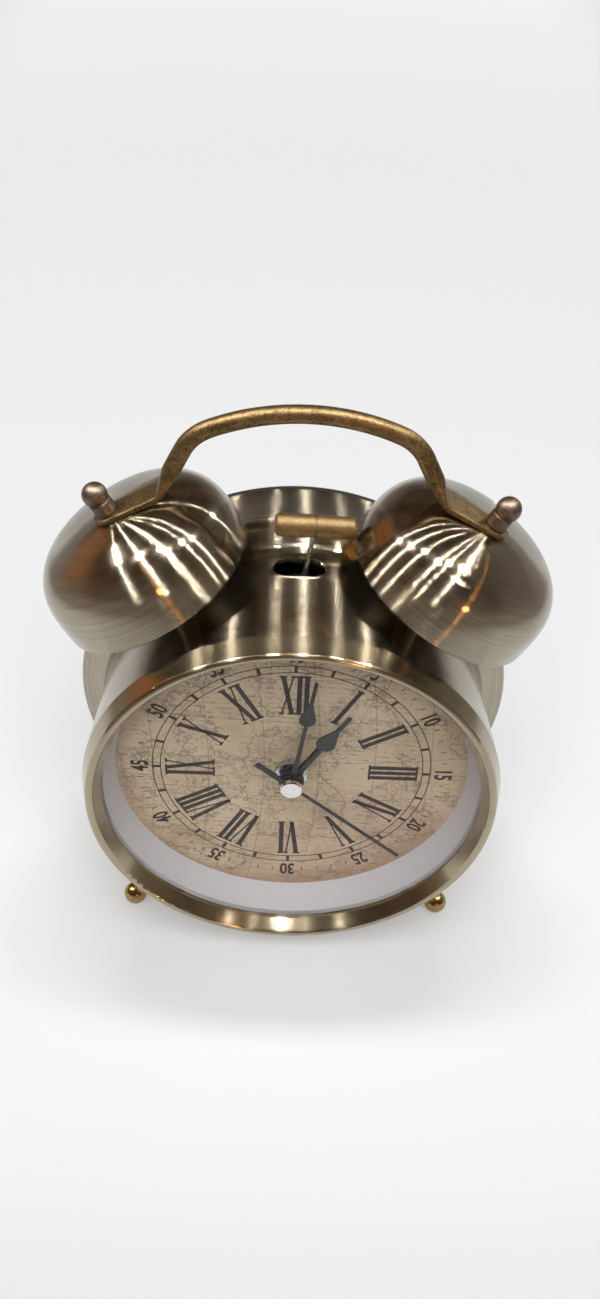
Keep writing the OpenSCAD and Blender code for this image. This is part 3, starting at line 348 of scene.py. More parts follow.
slotFinish = {
    "case_brass": "caseBrass", "bezel_brass": "bezelBrass", "bell_brass": "postBrass", "handle_brass": "handleBrass",
    "finial_brass": "finialBrass", "golden_brass": "goldenBrass", "lens": "lens", "white_plastic": "whitePlastic",
    "lamp_clear": "lampClear", "dial_print": "chart", "black_plastic": "blackPlastic", "grey_plastic": "greyPlastic",
    "steel": "steel", "chrome": "chrome", "gear_plastic": "gearPlastic", "hand_black": "handBlack",
    "board": "boardGreen", "copper": "copper", "magnet": "magnet",
}
nodeSlot = {part["node"]: part["material_slot"] for part in frame["record"]["subparts"]}
for name, node in cadNodes.items():
    node.data.materials.clear()
    node.data.materials.append(finish[slotFinish[nodeSlot[name]]])
for name in ("left_foot", "right_foot"):
    cadNodes[name].data.materials[0] = finish["footBrass"]
print("materials made,", len(finish))


# Modelling helpers

def deselect():
    bpy.ops.object.select_all(action="DESELECT")


def choose(piece):
    deselect()
    piece.select_set(True)
    bpy.context.view_layer.objects.active = piece


def settle(piece, place):
    # puts the place into the mesh and leaves the object at the origin
    choose(piece)
    piece.matrix_world = place
    bpy.ops.object.transform_apply(location=True, rotation=True, scale=True)


def copyOf(piece):
    twin = piece.copy()
    twin.data = piece.data.copy()
    bpy.context.scene.collection.objects.link(twin)
    return twin


def cleanMesh(piece, flip=True):
    choose(piece)
    bpy.ops.object.mode_set(mode="EDIT")
    bpy.ops.mesh.select_all(action="SELECT")
    bpy.ops.mesh.remove_doubles(threshold=2e-6)
    if flip:
        bpy.ops.mesh.normals_make_consistent(inside=False)
    bpy.ops.object.mode_set(mode="OBJECT")


def smooth(piece, angle=35):
    choose(piece)
    bpy.ops.object.shade_smooth_by_angle(angle=math.radians(angle))


def useModifier(piece, kind, **settings):
    choose(piece)
    modifier = piece.modifiers.new(kind.lower(), kind)
    for key, value in settings.items():
        setattr(modifier, key, value)
    bpy.ops.object.modifier_apply(modifier=modifier.name)


def turned(name, profile, place, steps=96, angle=35):
    # closed profile of (radius, height) in mm, spun round the height axis
    deselect()
    bpy.ops.mesh.primitive_circle_add(vertices=len(profile), radius=mm)
    piece = bpy.context.object
    piece.name = name
    for point, (r, h) in zip(piece.data.vertices, profile):
        point.co = (r * mm, 0, h * mm)
    bpy.ops.object.mode_set(mode="EDIT")
    bpy.ops.mesh.select_all(action="SELECT")
    bpy.ops.mesh.spin(steps=steps, angle=2 * math.pi, center=(0, 0, 0), axis=(0, 0, 1))
    bpy.ops.object.mode_set(mode="OBJECT")
    cleanMesh(piece)
    choose(piece)
    bpy.ops.object.mode_set(mode="EDIT")
    bpy.ops.mesh.select_all(action="SELECT")
    bpy.ops.mesh.dissolve_degenerate(threshold=1e-6)
    bpy.ops.object.mode_set(mode="OBJECT")
    settle(piece, place)
    smooth(piece, angle)
    return piece


def bow(x, y, r, start, end, count):
    # points on an arc of a profile, in mm and degrees
    turn = [math.radians(start + (end - start) * i / count) for i in range(count + 1)]
    return [(x + r * math.cos(a), y + r * math.sin(a)) for a in turn]


def dress(piece, body, look, slot, *replaced):
    piece.data.materials.clear()
    piece.data.materials.append(finish[look])
    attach(piece, body)
    if replaced:
        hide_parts(*replaced)


def softened(nodeName, pieceName, width, slim=None):
    # copy of a CAD node with its edges rounded, and a slimmer stem where slim gives a hand's angle, stem and share
    deselect()
    piece = bpy.data.objects.new(pieceName, cadNodes[nodeName].data.copy())
    bpy.context.scene.collection.objects.link(piece)
    choose(piece)
    bpy.ops.mesh.customdata_custom_splitnormals_clear()
    bpy.ops.object.mode_set(mode="EDIT")
    bpy.ops.mesh.select_all(action="SELECT")
    bpy.ops.mesh.remove_doubles(threshold=2e-6)
    bpy.ops.mesh.dissolve_limited(angle_limit=math.radians(0.5))
    bpy.ops.object.mode_set(mode="OBJECT")
    if slim:
        angle, stem, share = slim
        stand = Matrix.Translation(dialMiddle) @ Matrix.Rotation(math.radians(angle), 4, "Y")
        for point in piece.data.vertices:
            local = stand.inverted() @ point.co
            if local.z > 3.4 * mm and abs(local.x) < (stem / 2 + 0.03) * mm:  # past the boss
                local.x *= share
                point.co = stand @ local
    useModifier(piece, "BEVEL", width=width * mm, segments=2, limit_method="ANGLE",
                angle_limit=math.radians(40), use_clamp_overlap=True)
    smooth(piece, 30)
    # broad faces keep flat shading up to their rounded edges
    useModifier(piece, "WEIGHTED_NORMAL", keep_sharp=True)
    return piece


def tiltedPlace(middle, tilt):
    return Matrix.Translation(middle) @ Matrix.Rotation(tilt, 4, "Y")


def turnedPair(part, profile, steps, looks, slot):
    # turned once, then copied to the right and the left bell's axis
    master = turned(part, profile, Matrix(), steps)
    for side, tilt, middle in (("right", bellTilt, bellMiddle), ("left", -bellTilt, bellMiddle * mirrorX)):
        piece = copyOf(master)
        piece.name = side + part
        settle(piece, tiltedPlace(middle, tilt))
        dress(piece, "case", looks[side], slot, side + "_" + part.lower())
    bpy.data.objects.remove(master)


# Bells

def eased(points, reach, steps=72):
    # the same profile with its bends spread out, as points and their slopes
    spans = [math.dist(a, b) for a, b in zip(points, points[1:])]
    turns = []
    for i in range(steps):
        at, k = sum(spans) * (i + 0.5) / steps, 0
        while at > spans[k]:
            at, k = at - spans[k], k + 1
        turns.append(math.atan2(points[k + 1][1] - points[k][1], points[k + 1][0] - points[k][0]))
    half = round(reach / sum(spans) * steps / 2)
    soft = []
    for i in range(steps):
        near = [turns[min(steps - 1, max(0, k))] for k in range(i - half, i + half + 1)]
        soft.append(sum(near) / len(near))
    walk = [(0.0, 0.0)]
    for a in soft:
        walk.append((walk[-1][0] + math.cos(a), walk[-1][1] + math.sin(a)))
    growX = (points[-1][0] - points[0][0]) / walk[-1][0]
    growY = (points[-1][1] - points[0][1]) / walk[-1][1]
    return [(points[0][0] + x * growX, points[0][1] + y * growY) for x, y in walk], soft + soft[-1:]


def bellProfile():
    f = bellForm
    shoulderX = f["radius"] - f["shoulder"]
    drop = f["height"] - f["skirt"]
    crown = (shoulderX ** 2 + drop ** 2 - f["shoulder"] ** 2) / (2 * (drop - f["shoulder"]))
    crownY = f["height"] - crown
    meet = math.degrees(math.atan2(f["skirt"] - crownY, shoulderX))
    top = math.degrees(math.acos(f["hole"] / crown))
    lip = f["lip"]
    raw = bow(0, crownY, crown, top, meet, 24)
    raw += bow(shoulderX, f["skirt"], f["shoulder"], meet, 0, 20)[1:] + [(f["radius"], lip)]
    outer, slopes = eased(raw, f["ease"])
    inner = [(x + f["wall"] * math.sin(a), y - f["wall"] * math.cos(a)) for (x, y), a in zip(outer, slopes)]
    inner[0] = (f["hole"], inner[0][1])
    edge = bow(f["radius"] - lip, lip, lip, 0, -90, 5)[1:]
    edge += bow(f["radius"] - f["wall"] + lip, lip, lip, -90, -180, 5)
    return outer + edge + inner[-2::-1]


turnedPair("Bell", bellProfile(), 128, {"right": "rightBellBrass", "left": "leftBellBrass"}, "bell_brass")
print("bells turned")


# Finials: a ball on a short wide neck

finialForm = {"seat": 21.2, "ball": 3.0, "rise": 5.2, "neck": 2.7, "groove": 2.45, "bore": 1.6}


def finialProfile():
    f = finialForm
    seat = f["seat"]
    middle = seat + f["rise"]
    join = -math.degrees(math.acos(f["groove"] / f["ball"]))
    low = middle + f["ball"] * math.sin(math.radians(join))
    return ([(0.02, seat + 3.0), (f["bore"], seat + 3.0), (f["bore"], seat + 0.02),
             (f["neck"] - 0.2, seat + 0.02), (f["neck"], seat + 0.2)]
            + bow(f["neck"] - 0.25, low - 0.5, 0.25, 0, 90, 4) + [(f["groove"], low - 0.2)]
            + bow(0, middle, f["ball"], join, 89.6, 28))


turnedPair("Finial", finialProfile(), 64, {"right": "finialBrass", "left": "finialBrass"}, "finial_brass")
print("finials turned")


# Hammer head: a turned bar with a groove round its middle

headForm = {"radius": 2.65, "half": 9.55, "chamfer": 0.7, "groove": (0.4, 0.3), "droop": 1.5}


def headProfile():
    f = headForm
    r, end, cut = f["radius"], f["half"], f["chamfer"]
    wide, deep = f["groove"]
    half = [(r - deep, 0), (r - deep, wide / 2 - 0.05), (r - 0.04, wide / 2), (r, wide / 2 + 0.08),
            (r, end - cut - 0.15), (r - 0.04, end - cut), (r - cut, end - 0.05), (r - cut - 0.15, end), (0.02, end)]
    return [(x, -h) for x, h in half[:0:-1]] + half


headLow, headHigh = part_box("hammer_head")
headMiddle = (Vector(headLow) + Vector(headHigh)) / 2
headPlace = tiltedPlace(headMiddle, math.radians(90 + headForm["droop"]))
hammerHead = turned("hammerHead", headProfile(), headPlace, 64)
dress(hammerHead, "hammer", "goldenBrass", "golden_brass", "hammer_head")
print("hammer head turned")


# Rear pieces with rounded edges: piece, body, material slot and width of the rounding in mm

rearForm = {
    "rear_cover": ("rearCover", "case", "black_plastic", 0.35),
    "battery_door": ("batteryDoor", "battery_door", "black_plastic", 0.3),
    "time_knob": ("timeKnob", "time_set", "black_plastic", 0.18),
    "alarm_knob": ("alarmKnob", "alarm_knob", "black_plastic", 0.18),
    "alarm_switch": ("alarmSwitch", "alarm_switch", "grey_plastic", 0.25),
    "light_button": ("lightButton", "light_button", "grey_plastic", 0.3),
    "rear_screws": ("rearScrews", "case", "steel", 0.1),
}
for nodeName, (pieceName, body, slot, width) in rearForm.items():
    dress(softened(nodeName, pieceName, width), body, slotFinish[slot], slot, nodeName)
print("rear pieces softened")


# Hands with softened edges: piece, body, width of the rounding in mm, and the slimmer stem

handForm = {
    "hour_hand": ("hourHand", "hour", 0.09, (31, 1.5, 0.74)),
    "minute_hand": ("minuteHand", "minute", 0.09, (8, 1.3, 0.70)),
    "second_hand": ("secondHand", "second", 0.07, None),
    "alarm_hand": ("alarmHand", "alarm_set", 0.07, None),
}
for nodeName, (pieceName, body, width, slim) in handForm.items():
    dress(softened(nodeName, pieceName, width, slim), body, "handBlack", "hand_black", nodeName)

capForm = {"radius": 2.8, "front": 7.2, "back": 5.95, "chamfer": 0.22, "groove": 0.18}


def capProfile():
    f = capForm
    r, c, g = f["radius"], f["chamfer"], f["groove"]
    front, back = f["front"], f["back"]
    middle = (front + back) / 2
    return [(0.02, front), (r - c - 0.1, front), (r - c, front - 0.02), (r, front - c),
            (r, middle + 0.1), (r - g, middle), (r, middle - 0.1), (r, back + 0.1),
            (r - 0.1, back), (0.5, back), (0.5, back + 0.4), (0.02, back + 0.4)]


capPlace = Matrix.Translation(dialMiddle) @ Matrix.Rotation(math.pi / 2, 4, "X")
secondCap = turned("secondCap", capProfile(), capPlace, 64, 30)
dress(secondCap, "second", "chrome", "chrome", "second_cap")
print("hands softened")


# Dial print

printForm = {
    "thick": 0.03, "numeralLow": 19.3, "numeralTall": 12.5, "bold": 1.18, "fine": 0.42, "serif": 0.34,
    "rings": ((34.85, 35.1), (32.8, 33.05)), "bar": 0.8, "tick": (0.22, 37.7, 39.0),
    "minuteLow": 36.0, "minuteTall": 4.5, "minuteNarrow": 0.66, "minuteSize": 5, "minuteSwell": 0.13,
}
# each letter's strokes, as (foot, top, weight, serif width, serif at the foot), and the letter's width
letterForm = {
    "I": (((0, 0, "bold", 1.9, True),), 1.75),
    "V": (((0.25, -1.3, "bold", 2.0, False), (0.25, 1.45, "fine", 1.3, False)), 3.9),
    "X": (((1.2, -1.2, "bold", 2.0, True), (-1.35, 1.35, "fine", 1.5, True)), 3.9),
}


def flatStrip(rows):
    # rows of (left, right, up) in mm, each extruded from the one before
    deselect()
    bpy.ops.mesh.primitive_plane_add(size=mm, rotation=(math.pi / 2, 0, 0))
    piece = bpy.context.object
    bpy.ops.object.transform_apply(location=False, rotation=True, scale=False)
    points = sorted(piece.data.vertices, key=lambda p: (round(p.co.z, 6), p.co.x))
    corners = [(x, up) for left, right, up in rows[:2] for x in (left, right)]
    for point, (x, z) in zip(points, corners):
        point.co = (x * mm, 0, z * mm)
    topPair = [points[2].index, points[3].index]
    for left, right, up in rows[2:]:
        for point in piece.data.vertices:
            point.select = point.index in topPair
        for line in piece.data.edges:
            line.select = all(i in topPair for i in line.vertices)
        for face in piece.data.polygons:
            face.select = False
        bpy.ops.object.mode_set(mode="EDIT")
        bpy.ops.mesh.select_mode(type="EDGE")
        bpy.ops.mesh.extrude_edges_move(TRANSFORM_OT_translate={"value": (0, 0, 0.1 * mm)})
        bpy.ops.object.mode_set(mode="OBJECT")
        fresh = sorted((p for p in piece.data.vertices if p.select), key=lambda p: p.co.x)
        fresh[0].co = (left * mm, 0, up * mm)
        fresh[1].co = (right * mm, 0, up * mm)
        topPair = [fresh[0].index, fresh[1].index]
    return piece


def stroke(x0, x1, weight, serifWidth, lowSerif):
    f = printForm
    tall = f["numeralTall"]
    half, halfSerif = f[weight] / 2, serifWidth / 2
    rows = []
    if lowSerif:
        rows += [(x0 - halfSerif, x0 + halfSerif, up) for up in (0, f["serif"])]
    for up in ((f["serif"] + 0.35 if lowSerif else 0), tall - f["serif"] - 0.35):
        middle = x0 + (x1 - x0) * up / tall
        rows.append((middle - half, middle + half, up))
    rows += [(x1 - halfSerif, x1 + halfSerif, up) for up in (tall - f["serif"], tall)]
    return flatStrip(rows)


def joined(name, parts):
    deselect()
    for part in parts:
        part.select_set(True)
    bpy.context.view_layer.objects.active = parts[0]
    if len(parts) > 1:
        bpy.ops.object.join()
    parts[0].name = name
    return parts[0]


letters = {}
for name, (strokes, wide) in letterForm.items():
    letters[name] = (joined("letter" + name, [stroke(*line) for line in strokes]), wide)


def printPlace(turn, up, lift=0.0):
    face = dialMiddle - Vector((0, (printForm["thick"] + lift) * mm, 0))
    spin = Matrix.Rotation(math.radians(turn), 4, "Y")
    return Matrix.Translation(face) @ spin @ Matrix.Translation((0, 0, up * mm))


def thicken(piece):
    cleanMesh(piece, False)
    choose(piece)
    bpy.ops.object.mode_set(mode="EDIT")
    bpy.ops.mesh.select_all(action="SELECT")
    bpy.ops.mesh.extrude_region_move(TRANSFORM_OT_translate={"value": (0, printForm["thick"] * mm, 0)})
    bpy.ops.mesh.select_all(action="SELECT")
    bpy.ops.mesh.normals_make_consistent(inside=False)
    bpy.ops.object.mode_set(mode="OBJECT")


for hour, word in enumerate(("I", "II", "III", "IV", "V", "VI", "VII", "VIII", "IX", "X", "XI", "XII"), 1):
    wide = sum(letters[c][1] for c in word)
    x = -wide / 2
    parts = []
    for c in word:
        part = copyOf(letters[c][0])
        settle(part, Matrix.Translation(((x + letters[c][1] / 2) * mm, 0, 0)))
        parts.append(part)
        x += letters[c][1]
    numeral = joined("numeral" + str(hour), parts)
    thicken(numeral)
    settle(numeral, printPlace(30 * hour, printForm["numeralLow"]))
    dress(numeral, "case", "ink", "dial_print")
for letter, width in letters.values():
    bpy.data.objects.remove(letter)
print("numerals set")


def flatRing(low, high):
    deselect()
    bpy.ops.mesh.primitive_circle_add(vertices=180, radius=low * mm, rotation=(math.pi / 2, 0, 0))
    ring = bpy.context.object
    bpy.ops.object.transform_apply(location=False, rotation=True, scale=False)
    bpy.ops.object.mode_set(mode="EDIT")
    bpy.ops.mesh.select_all(action="SELECT")
    bpy.ops.mesh.extrude_edges_move(TRANSFORM_OT_translate={"value": (0, 0, 0)})
    bpy.ops.object.mode_set(mode="OBJECT")
    for point in ring.data.vertices:
        if point.select:
            point.co = point.co * (high / low)
    return ring


def roundTheDial(wide, low, high, turns):
    # one flat bar, copied to each turn round the dial
    bar = flatStrip([(-wide / 2, wide / 2, up) for up in (low, high)])
    copies = []
    for turn in turns:
        copies.append(copyOf(bar))
        settle(copies[-1], Matrix.Rotation(math.radians(turn), 4, "Y"))
    bpy.data.objects.remove(bar)
    return copies


barLow, barHigh = printForm["rings"][1][0] + 0.1, printForm["rings"][0][1] - 0.1
bars = roundTheDial(printForm["bar"], barLow, barHigh, range(0, 360, 15))
chapterRing = joined("chapterRing", [flatRing(*pair) for pair in printForm["rings"]] + bars)
thicken(chapterRing)
settle(chapterRing, printPlace(0, 0, 0.004))
dress(chapterRing, "case", "ink", "dial_print")

minuteTicks = joined("minuteTicks", roundTheDial(*printForm["tick"], [6 * k for k in range(60) if k % 5]))
thicken(minuteTicks)
settle(minuteTicks, printPlace(0, 0))
dress(minuteTicks, "case", "ink", "dial_print")

for k in range(1, 13):
    deselect()
    bpy.ops.object.text_add()
    word = bpy.context.object
    word.data.body = str(5 * k)
    word.data.size = printForm["minuteSize"] * mm
    word.data.offset = printForm["minuteSwell"] * mm
    word.data.align_x = "CENTER"
    bpy.ops.object.convert(target="MESH")
    word = bpy.context.object
    word.name = "minute" + str(5 * k)
    tops = [p.co.y for p in word.data.vertices]
    tall = (max(tops) - min(tops)) / mm
    grow = printForm["minuteTall"] / tall
    stand = Matrix.Rotation(math.pi / 2, 4, "X") @ Matrix.Diagonal((grow * printForm["minuteNarrow"], grow, 1, 1))
    settle(word, stand @ Matrix.Translation((0, -min(tops), 0)))
    thicken(word)
    settle(word, printPlace(30 * k, printForm["minuteLow"]))
    dress(word, "case", "ink", "dial_print")
print("dial printed")


# Handle: round arch, legs beaten flat to straps

handleForm = {"rod": 2.1, "archR": 52, "archHalf": 24, "shoulderR": 12, "legSlope": 64, "bendR": 4.5,
              "tabThick": 1.4, "tabWide": 7.4, "rise": 28.5, "beaten": 5.0}


def handleRings():
    # half the handle, from the middle of the arch to the round end of the strap,
    # as (middle, slope, half thick, half wide, squareness)
    f = handleForm
    tiltDeg = bellForm["tilt"]
    bellTop = (bellMiddle + bellForm["height"] * mm * bellAxis - Vector((0, 0, axisHeight))) / mm
    bellTop = Vector((bellTop.x, bellTop.z))

    def unit(slope):
        return Vector((math.cos(math.radians(slope)), -math.sin(math.radians(slope))))

    def up(slope):
        return Vector((math.sin(math.radians(slope)), math.cos(math.radians(slope))))

    archMid = Vector((0, bellTop.y + f["rise"] - f["archR"]))
    shoulderMid = archMid + (f["archR"] - f["shoulderR"]) * up(f["archHalf"])
    legStart = shoulderMid + f["shoulderR"] * up(f["legSlope"])
    tabMid = bellTop + f["tabThick"] / 2 * up(tiltDeg)
    toClose = tabMid - legStart - f["bendR"] * (up(f["legSlope"]) - up(tiltDeg))
    legDir, endDir = unit(f["legSlope"]), unit(tiltDeg)
    closing = legDir.x * endDir.y - legDir.y * endDir.x
    legLen = (toClose.x * endDir.y - toClose.y * endDir.x) / closing
    endLen = (legDir.x * toClose.y - legDir.y * toClose.x) / closing
    bendMid = legStart + legLen * legDir + f["bendR"] * up(f["legSlope"])
    rings = []
    for i in range(21):
        slope = f["archHalf"] * i / 20
        rings.append((archMid + f["archR"] * up(slope), slope, f["rod"], f["rod"], 0))
    for i in range(1, 13):
        slope = f["archHalf"] + (f["legSlope"] - f["archHalf"]) * i / 12
        rings.append((shoulderMid + f["shoulderR"] * up(slope), slope, f["rod"], f["rod"], 0))
    flatT, flatW = f["tabThick"] / 2, f["tabWide"] / 2
    bendLen = f["bendR"] * math.radians(f["legSlope"] - tiltDeg)

    def beaten(left):
        # how flat the rod is where this length is left to the end of the bend
        s = min(1, max(0, 1 - (left - 0.4 * bendLen) / (f["beaten"] + 0.6 * bendLen)))
        s = s * s * (3 - 2 * s)
        return f["rod"] + (flatT - f["rod"]) * s, f["rod"] + (flatW - f["rod"]) * s, s

    for i in range(1, 19):
        t = i / 18
        rings.append((legStart + legLen * t * legDir, f["legSlope"], *beaten(legLen * (1 - t) + bendLen)))
    for i in range(1, 11):
        slope = f["legSlope"] + (tiltDeg - f["legSlope"]) * i / 10
        rings.append((bendMid - f["bendR"] * up(slope), slope, *beaten(bendLen * (1 - i / 10))))
    for i in range(1, 5):
        rings.append((tabMid - endLen * (1 - i / 4) * endDir, tiltDeg, flatT, flatW, 1))
    for i in range(1, 13):
        a = math.radians(90 * min(i / 12, 0.97))
        rings.append((tabMid + flatW * math.sin(a) * endDir, tiltDeg, flatT, flatW * math.cos(a), 1))
    return rings


def ringPoints(ring, count):
    centre, slope, thick, wide, square = ring
    upDir = (math.sin(math.radians(slope)), math.cos(math.radians(slope)))
    points = []
    for k in range(count):
        a = 2 * math.pi * (k + 0.5) / count
        c, s = math.cos(a), math.sin(a)
        power = 1 - 0.72 * square  # from a circle to a rounded bar
        across = wide * math.copysign(abs(c) ** power, c)
        rise = thick * math.copysign(abs(s) ** power, s)
        points.append(mm * Vector((centre.x + rise * upDir[0], across, centre.y + rise * upDir[1])))
    return points


def loft(name, rings):
    # each ring is extruded from the one before and set in place
    count = len(rings[0])
    deselect()
    bpy.ops.mesh.primitive_circle_add(vertices=count, radius=mm)
    piece = bpy.context.object
    piece.name = name
    for point, co in zip(piece.data.vertices, rings[0]):
        point.co = co
    last = list(range(count))
    for ring in rings[1:]:
        bpy.ops.object.mode_set(mode="EDIT")
        bpy.ops.mesh.extrude_edges_move(TRANSFORM_OT_translate={"value": (0, 0, 0)})
        bpy.ops.object.mode_set(mode="OBJECT")
        fresh = [p.index for p in piece.data.vertices if p.select]
        points = piece.data.vertices
        order = {min(last, key=lambda j: (points[i].co - points[j].co).length): i for i in fresh}
        last = [order[j] for j in last]
        for i, co in zip(last, ring):
            piece.data.vertices[i].co = co
    return piece


handle = loft("carryHandle", [ringPoints(r, 32) for r in handleRings()])
choose(handle)
bpy.ops.object.mode_set(mode="EDIT")
bpy.ops.mesh.edge_face_add()
bpy.ops.object.mode_set(mode="OBJECT")
useModifier(handle, "MIRROR", use_axis=(True, False, False), use_clip=True, merge_threshold=0.00002)
cleanMesh(handle)
settle(handle, Matrix.Translation((0, strikeY, axisHeight)))
smooth(handle, 40)
dress(handle, "case", "handleBrass", "handle_brass", "handle")
print("handle lofted")


# Bright trim round the slot on top of the drum

trimForm = {"length": 12.8, "width": 7.2, "depth": 19.0, "front": (51.4, -8.0), "waist": (49.2, 23.0),
            "section": ((-0.02, -0.9), (-0.02, 0.02), (0.14, 0.18), (0.45, 0.22),
                        (0.72, 0.12), (0.85, -0.04), (0.85, -0.3), (0.4, -0.9))}


def trimRings():
    f = trimForm
    r = f["width"] / 2
    run = f["length"] / 2 - r
    walk = [(run, a) for a in range(-90, 91, 10)] + [(-run, a) for a in range(90, 271, 10)]
    slope = (f["waist"][0] - f["front"][0]) / (f["waist"][1] - f["front"][1])
    rings = []
    for x, turn in walk + walk[:1]:
        c, s = math.cos(math.radians(turn)), math.sin(math.radians(turn))
        ring = []
        for out, lift in f["section"]:
            px, py = x + (r + out) * c, (r + out) * s
            drum = f["front"][0] + slope * (f["depth"] + py - f["front"][1])
            top = math.sqrt(drum ** 2 - px ** 2) + lift
            ring.append(dialMiddle + mm * Vector((px, f["depth"] + py, top)))
        rings.append(ring)
    return rings


slotTrim = loft("slotTrim", trimRings())
cleanMesh(slotTrim)
smooth(slotTrim, 40)
dress(slotTrim, "case", "trimBrass", "case_brass")
print("slot trimmed")


# Stage

stageForm = {
    "floor": 40.0, "farGlow": 0.9, "farFrom": (0.2, 1.1), "tone": (0.70, 0.70, 0.70), "glow": 0.21, "drop": 0.00005,
    "table": (0.28, 0.235, 0.195), "sheetSide": (0.19, 0.46), "sheetFront": (-0.36, -0.05), "sheetBack": (1.1, 2.6),
    "room": [(0.0, (0.28, 0.235, 0.195)), (0.05, (0.19, 0.145, 0.11)), (0.14, (0.105, 0.066, 0.042)),
             (0.5, (0.073, 0.047, 0.031)), (1.0, (0.085, 0.068, 0.052))],
    "rosy": {"way": (-0.80, 0.42, 0.30), "from": 0.93, "to": 0.985, "colour": (0.48, 0.20, 0.075)},
    "grey": {"way": (0.85, 0.25, 0.30), "from": 0.75, "to": 0.99, "colour": (0.20, 0.175, 0.15)},
}
deselect()
bpy.ops.mesh.primitive_plane_add(size=stageForm["floor"], location=(0, 0, -stageForm["drop"]))
floor = bpy.context.object
floor.name = "floor"
floorMaterial, wire = newMaterial("paleFloor")
seen = wire.node("ShaderNodeLightPath", None, None, "Is Camera Ray")
for way in ("Is Glossy Ray", "Is Transmission Ray"):
    seen = wire.math("MAXIMUM", seen, wire.node("ShaderNodeLightPath", None, None, way))


def shine(colour, strength):
    return wire.node("ShaderNodeEmission", None, {"Color": rgba(colour), "Strength": strength})


matte = wire.node("ShaderNodeBsdfDiffuse", None, {"Color": rgba(stageForm["tone"])})
glow = shine((1, 1, 1), seen * stageForm["glow"])
near = wire.node("ShaderNodeAddShader", None, {0: matte, 1: glow})
far = shine((1, 1, 1), seen * stageForm["farGlow"])
spot = wire.node("ShaderNodeTexCoord", None, None, "Object")
away = wire.vector("LENGTH", spot, out="Value").step(*stageForm["farFrom"])
pale = wire.node("ShaderNodeMixShader", None, {0: away, 1: near, 2: far})
# a pale sheet under the clock and behind it, and a dim table beyond its edges
beside = wire.math("ABSOLUTE", wire.node("ShaderNodeSeparateXYZ", None, {0: spot}, "X"))
back = wire.node("ShaderNodeSeparateXYZ", None, {0: spot}, "Y")
sheet = back.step(*stageForm["sheetFront"]) * (1 - back.step(*stageForm["sheetBack"]))
sheet = sheet * (1 - beside.step(*stageForm["sheetSide"]))
table = shine(stageForm["table"], seen)
closeMaterial(wire, wire.node("ShaderNodeMixShader", None, {0: sheet, 1: table, 2: pale}))
floor.data.materials.append(floorMaterial)

# a dim brown room with a rosy side and a grey side, which the metal mirrors
world = bpy.data.worlds.new("room")
bpy.context.scene.world = world
world.use_nodes = True
world.node_tree.nodes.clear()
wire = Wire(world.node_tree)
way = wire.node("ShaderNodeTexCoord", None, None, "Generated")
height = wire.vector("DOT_PRODUCT", way, (0, 0, 1), "Value")
room = height.ramp(stageForm["room"])
shapes = wire.noise(way, 2.6, 3.0, 0.55).step(0.36, 0.66) * 1.5 + 0.35
room = wire.mix(height.step(0.04, 0.16), room, wire.scaled(room, shapes))
for patch in (stageForm["grey"], stageForm["rosy"]):
    facing = wire.vector("DOT_PRODUCT", way, tuple(Vector(patch["way"]).normalized()), "Value")
    room = wire.mix(facing.step(patch["from"], patch["to"]), room, patch["colour"])
backdrop = wire.node("ShaderNodeBackground", None, {"Color": room, "Strength": 1.0})
wire.node("ShaderNodeOutputWorld", None, {"Surface": backdrop})


def areaLamp(name, at, aim, size, watts, colour, mirrored=True, matte=True):
    lamp = bpy.data.lights.new(name, "AREA")
    lamp.shape = "RECTANGLE"
    lamp.size, lamp.size_y = size
    lamp.energy = watts
    lamp.color = colour
    holder = bpy.data.objects.new(name, lamp)
    bpy.context.scene.collection.objects.link(holder)
    holder.location = at
    holder.visible_glossy = mirrored
    holder.visible_diffuse = matte
    holder.rotation_euler = (Vector(aim) - Vector(at)).to_track_quat("-Z", "Y").to_euler()


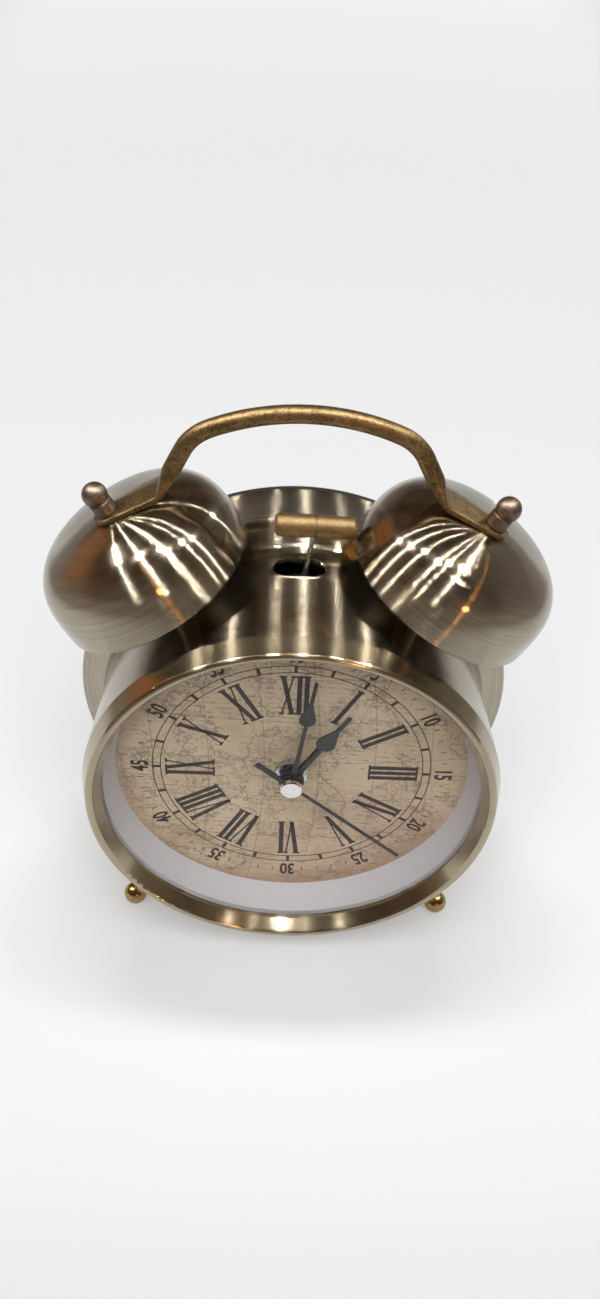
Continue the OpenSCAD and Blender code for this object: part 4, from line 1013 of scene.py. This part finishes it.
lampForm = {
    "aim": (0, 0, 0.07), "topAim": (0, 0, 0), "far": 1.3, "size": 0.045, "power": 2.0, "colour": (1.0, 0.94, 0.85),
    "top": {"at": (0.0, 0.42, 2.0), "size": (1.0, 0.16), "watts": 16.0, "colour": (0.955, 0.98, 1.0)},
    "front": {"at": (0.0, -1.1, 1.7), "size": (1.6, 1.6), "watts": 35.0, "colour": (0.935, 0.97, 1.0)},
    "amber": {"at": (0.22, -0.75, 0.22), "size": (0.07, 0.05), "watts": 0.6, "colour": (1.0, 0.42, 0.10)},
    "ways": (((0.671, 0.54, 0.508), 1.4), ((0.531, -0.062, 0.845), 4.4), ((0.32, -0.15, 0.93), 2.4),
             ((0.051, -0.294, 0.954), 5.0), ((-0.17, -0.15, 0.97), 2.6), ((-0.493, -0.066, 0.868), 4.4),
             ((-0.715, 0.092, 0.693), 3.0)),
}
# soft lamps for the matte pieces, and small spots that only the metal and glass mirror
areaLamp("topKey", aim=lampForm["topAim"], mirrored=False, **lampForm["top"])
areaLamp("frontSoftbox", aim=lampForm["aim"], mirrored=False, **lampForm["front"])
spotSize = 2 * (lampForm["size"],)
for k, (way, watts) in enumerate(lampForm["ways"]):
    at = Vector(lampForm["aim"]) + lampForm["far"] * Vector(way).normalized()
    power = watts * lampForm["power"]
    areaLamp("spot" + str(k), at, lampForm["aim"], spotSize, power, lampForm["colour"], matte=False)
areaLamp("amberSpot", aim=lampForm["aim"], matte=False, **lampForm["amber"])

cameraForm = {"lens": 36.03, "sensor": 36, "at": (-0.00434, -0.24914, 0.29290), "turn": (49.238, -2.068, 0.522)}
lens = bpy.data.cameras.new("photoCamera")
lens.lens = cameraForm["lens"]
lens.sensor_width = cameraForm["sensor"]
camera = bpy.data.objects.new("photoCamera", lens)
bpy.context.scene.collection.objects.link(camera)
camera.location = cameraForm["at"]
camera.rotation_euler = [math.radians(a) for a in cameraForm["turn"]]
bpy.context.scene.camera = camera
bpy.context.scene.view_settings.view_transform = "Standard"
print("stage set")
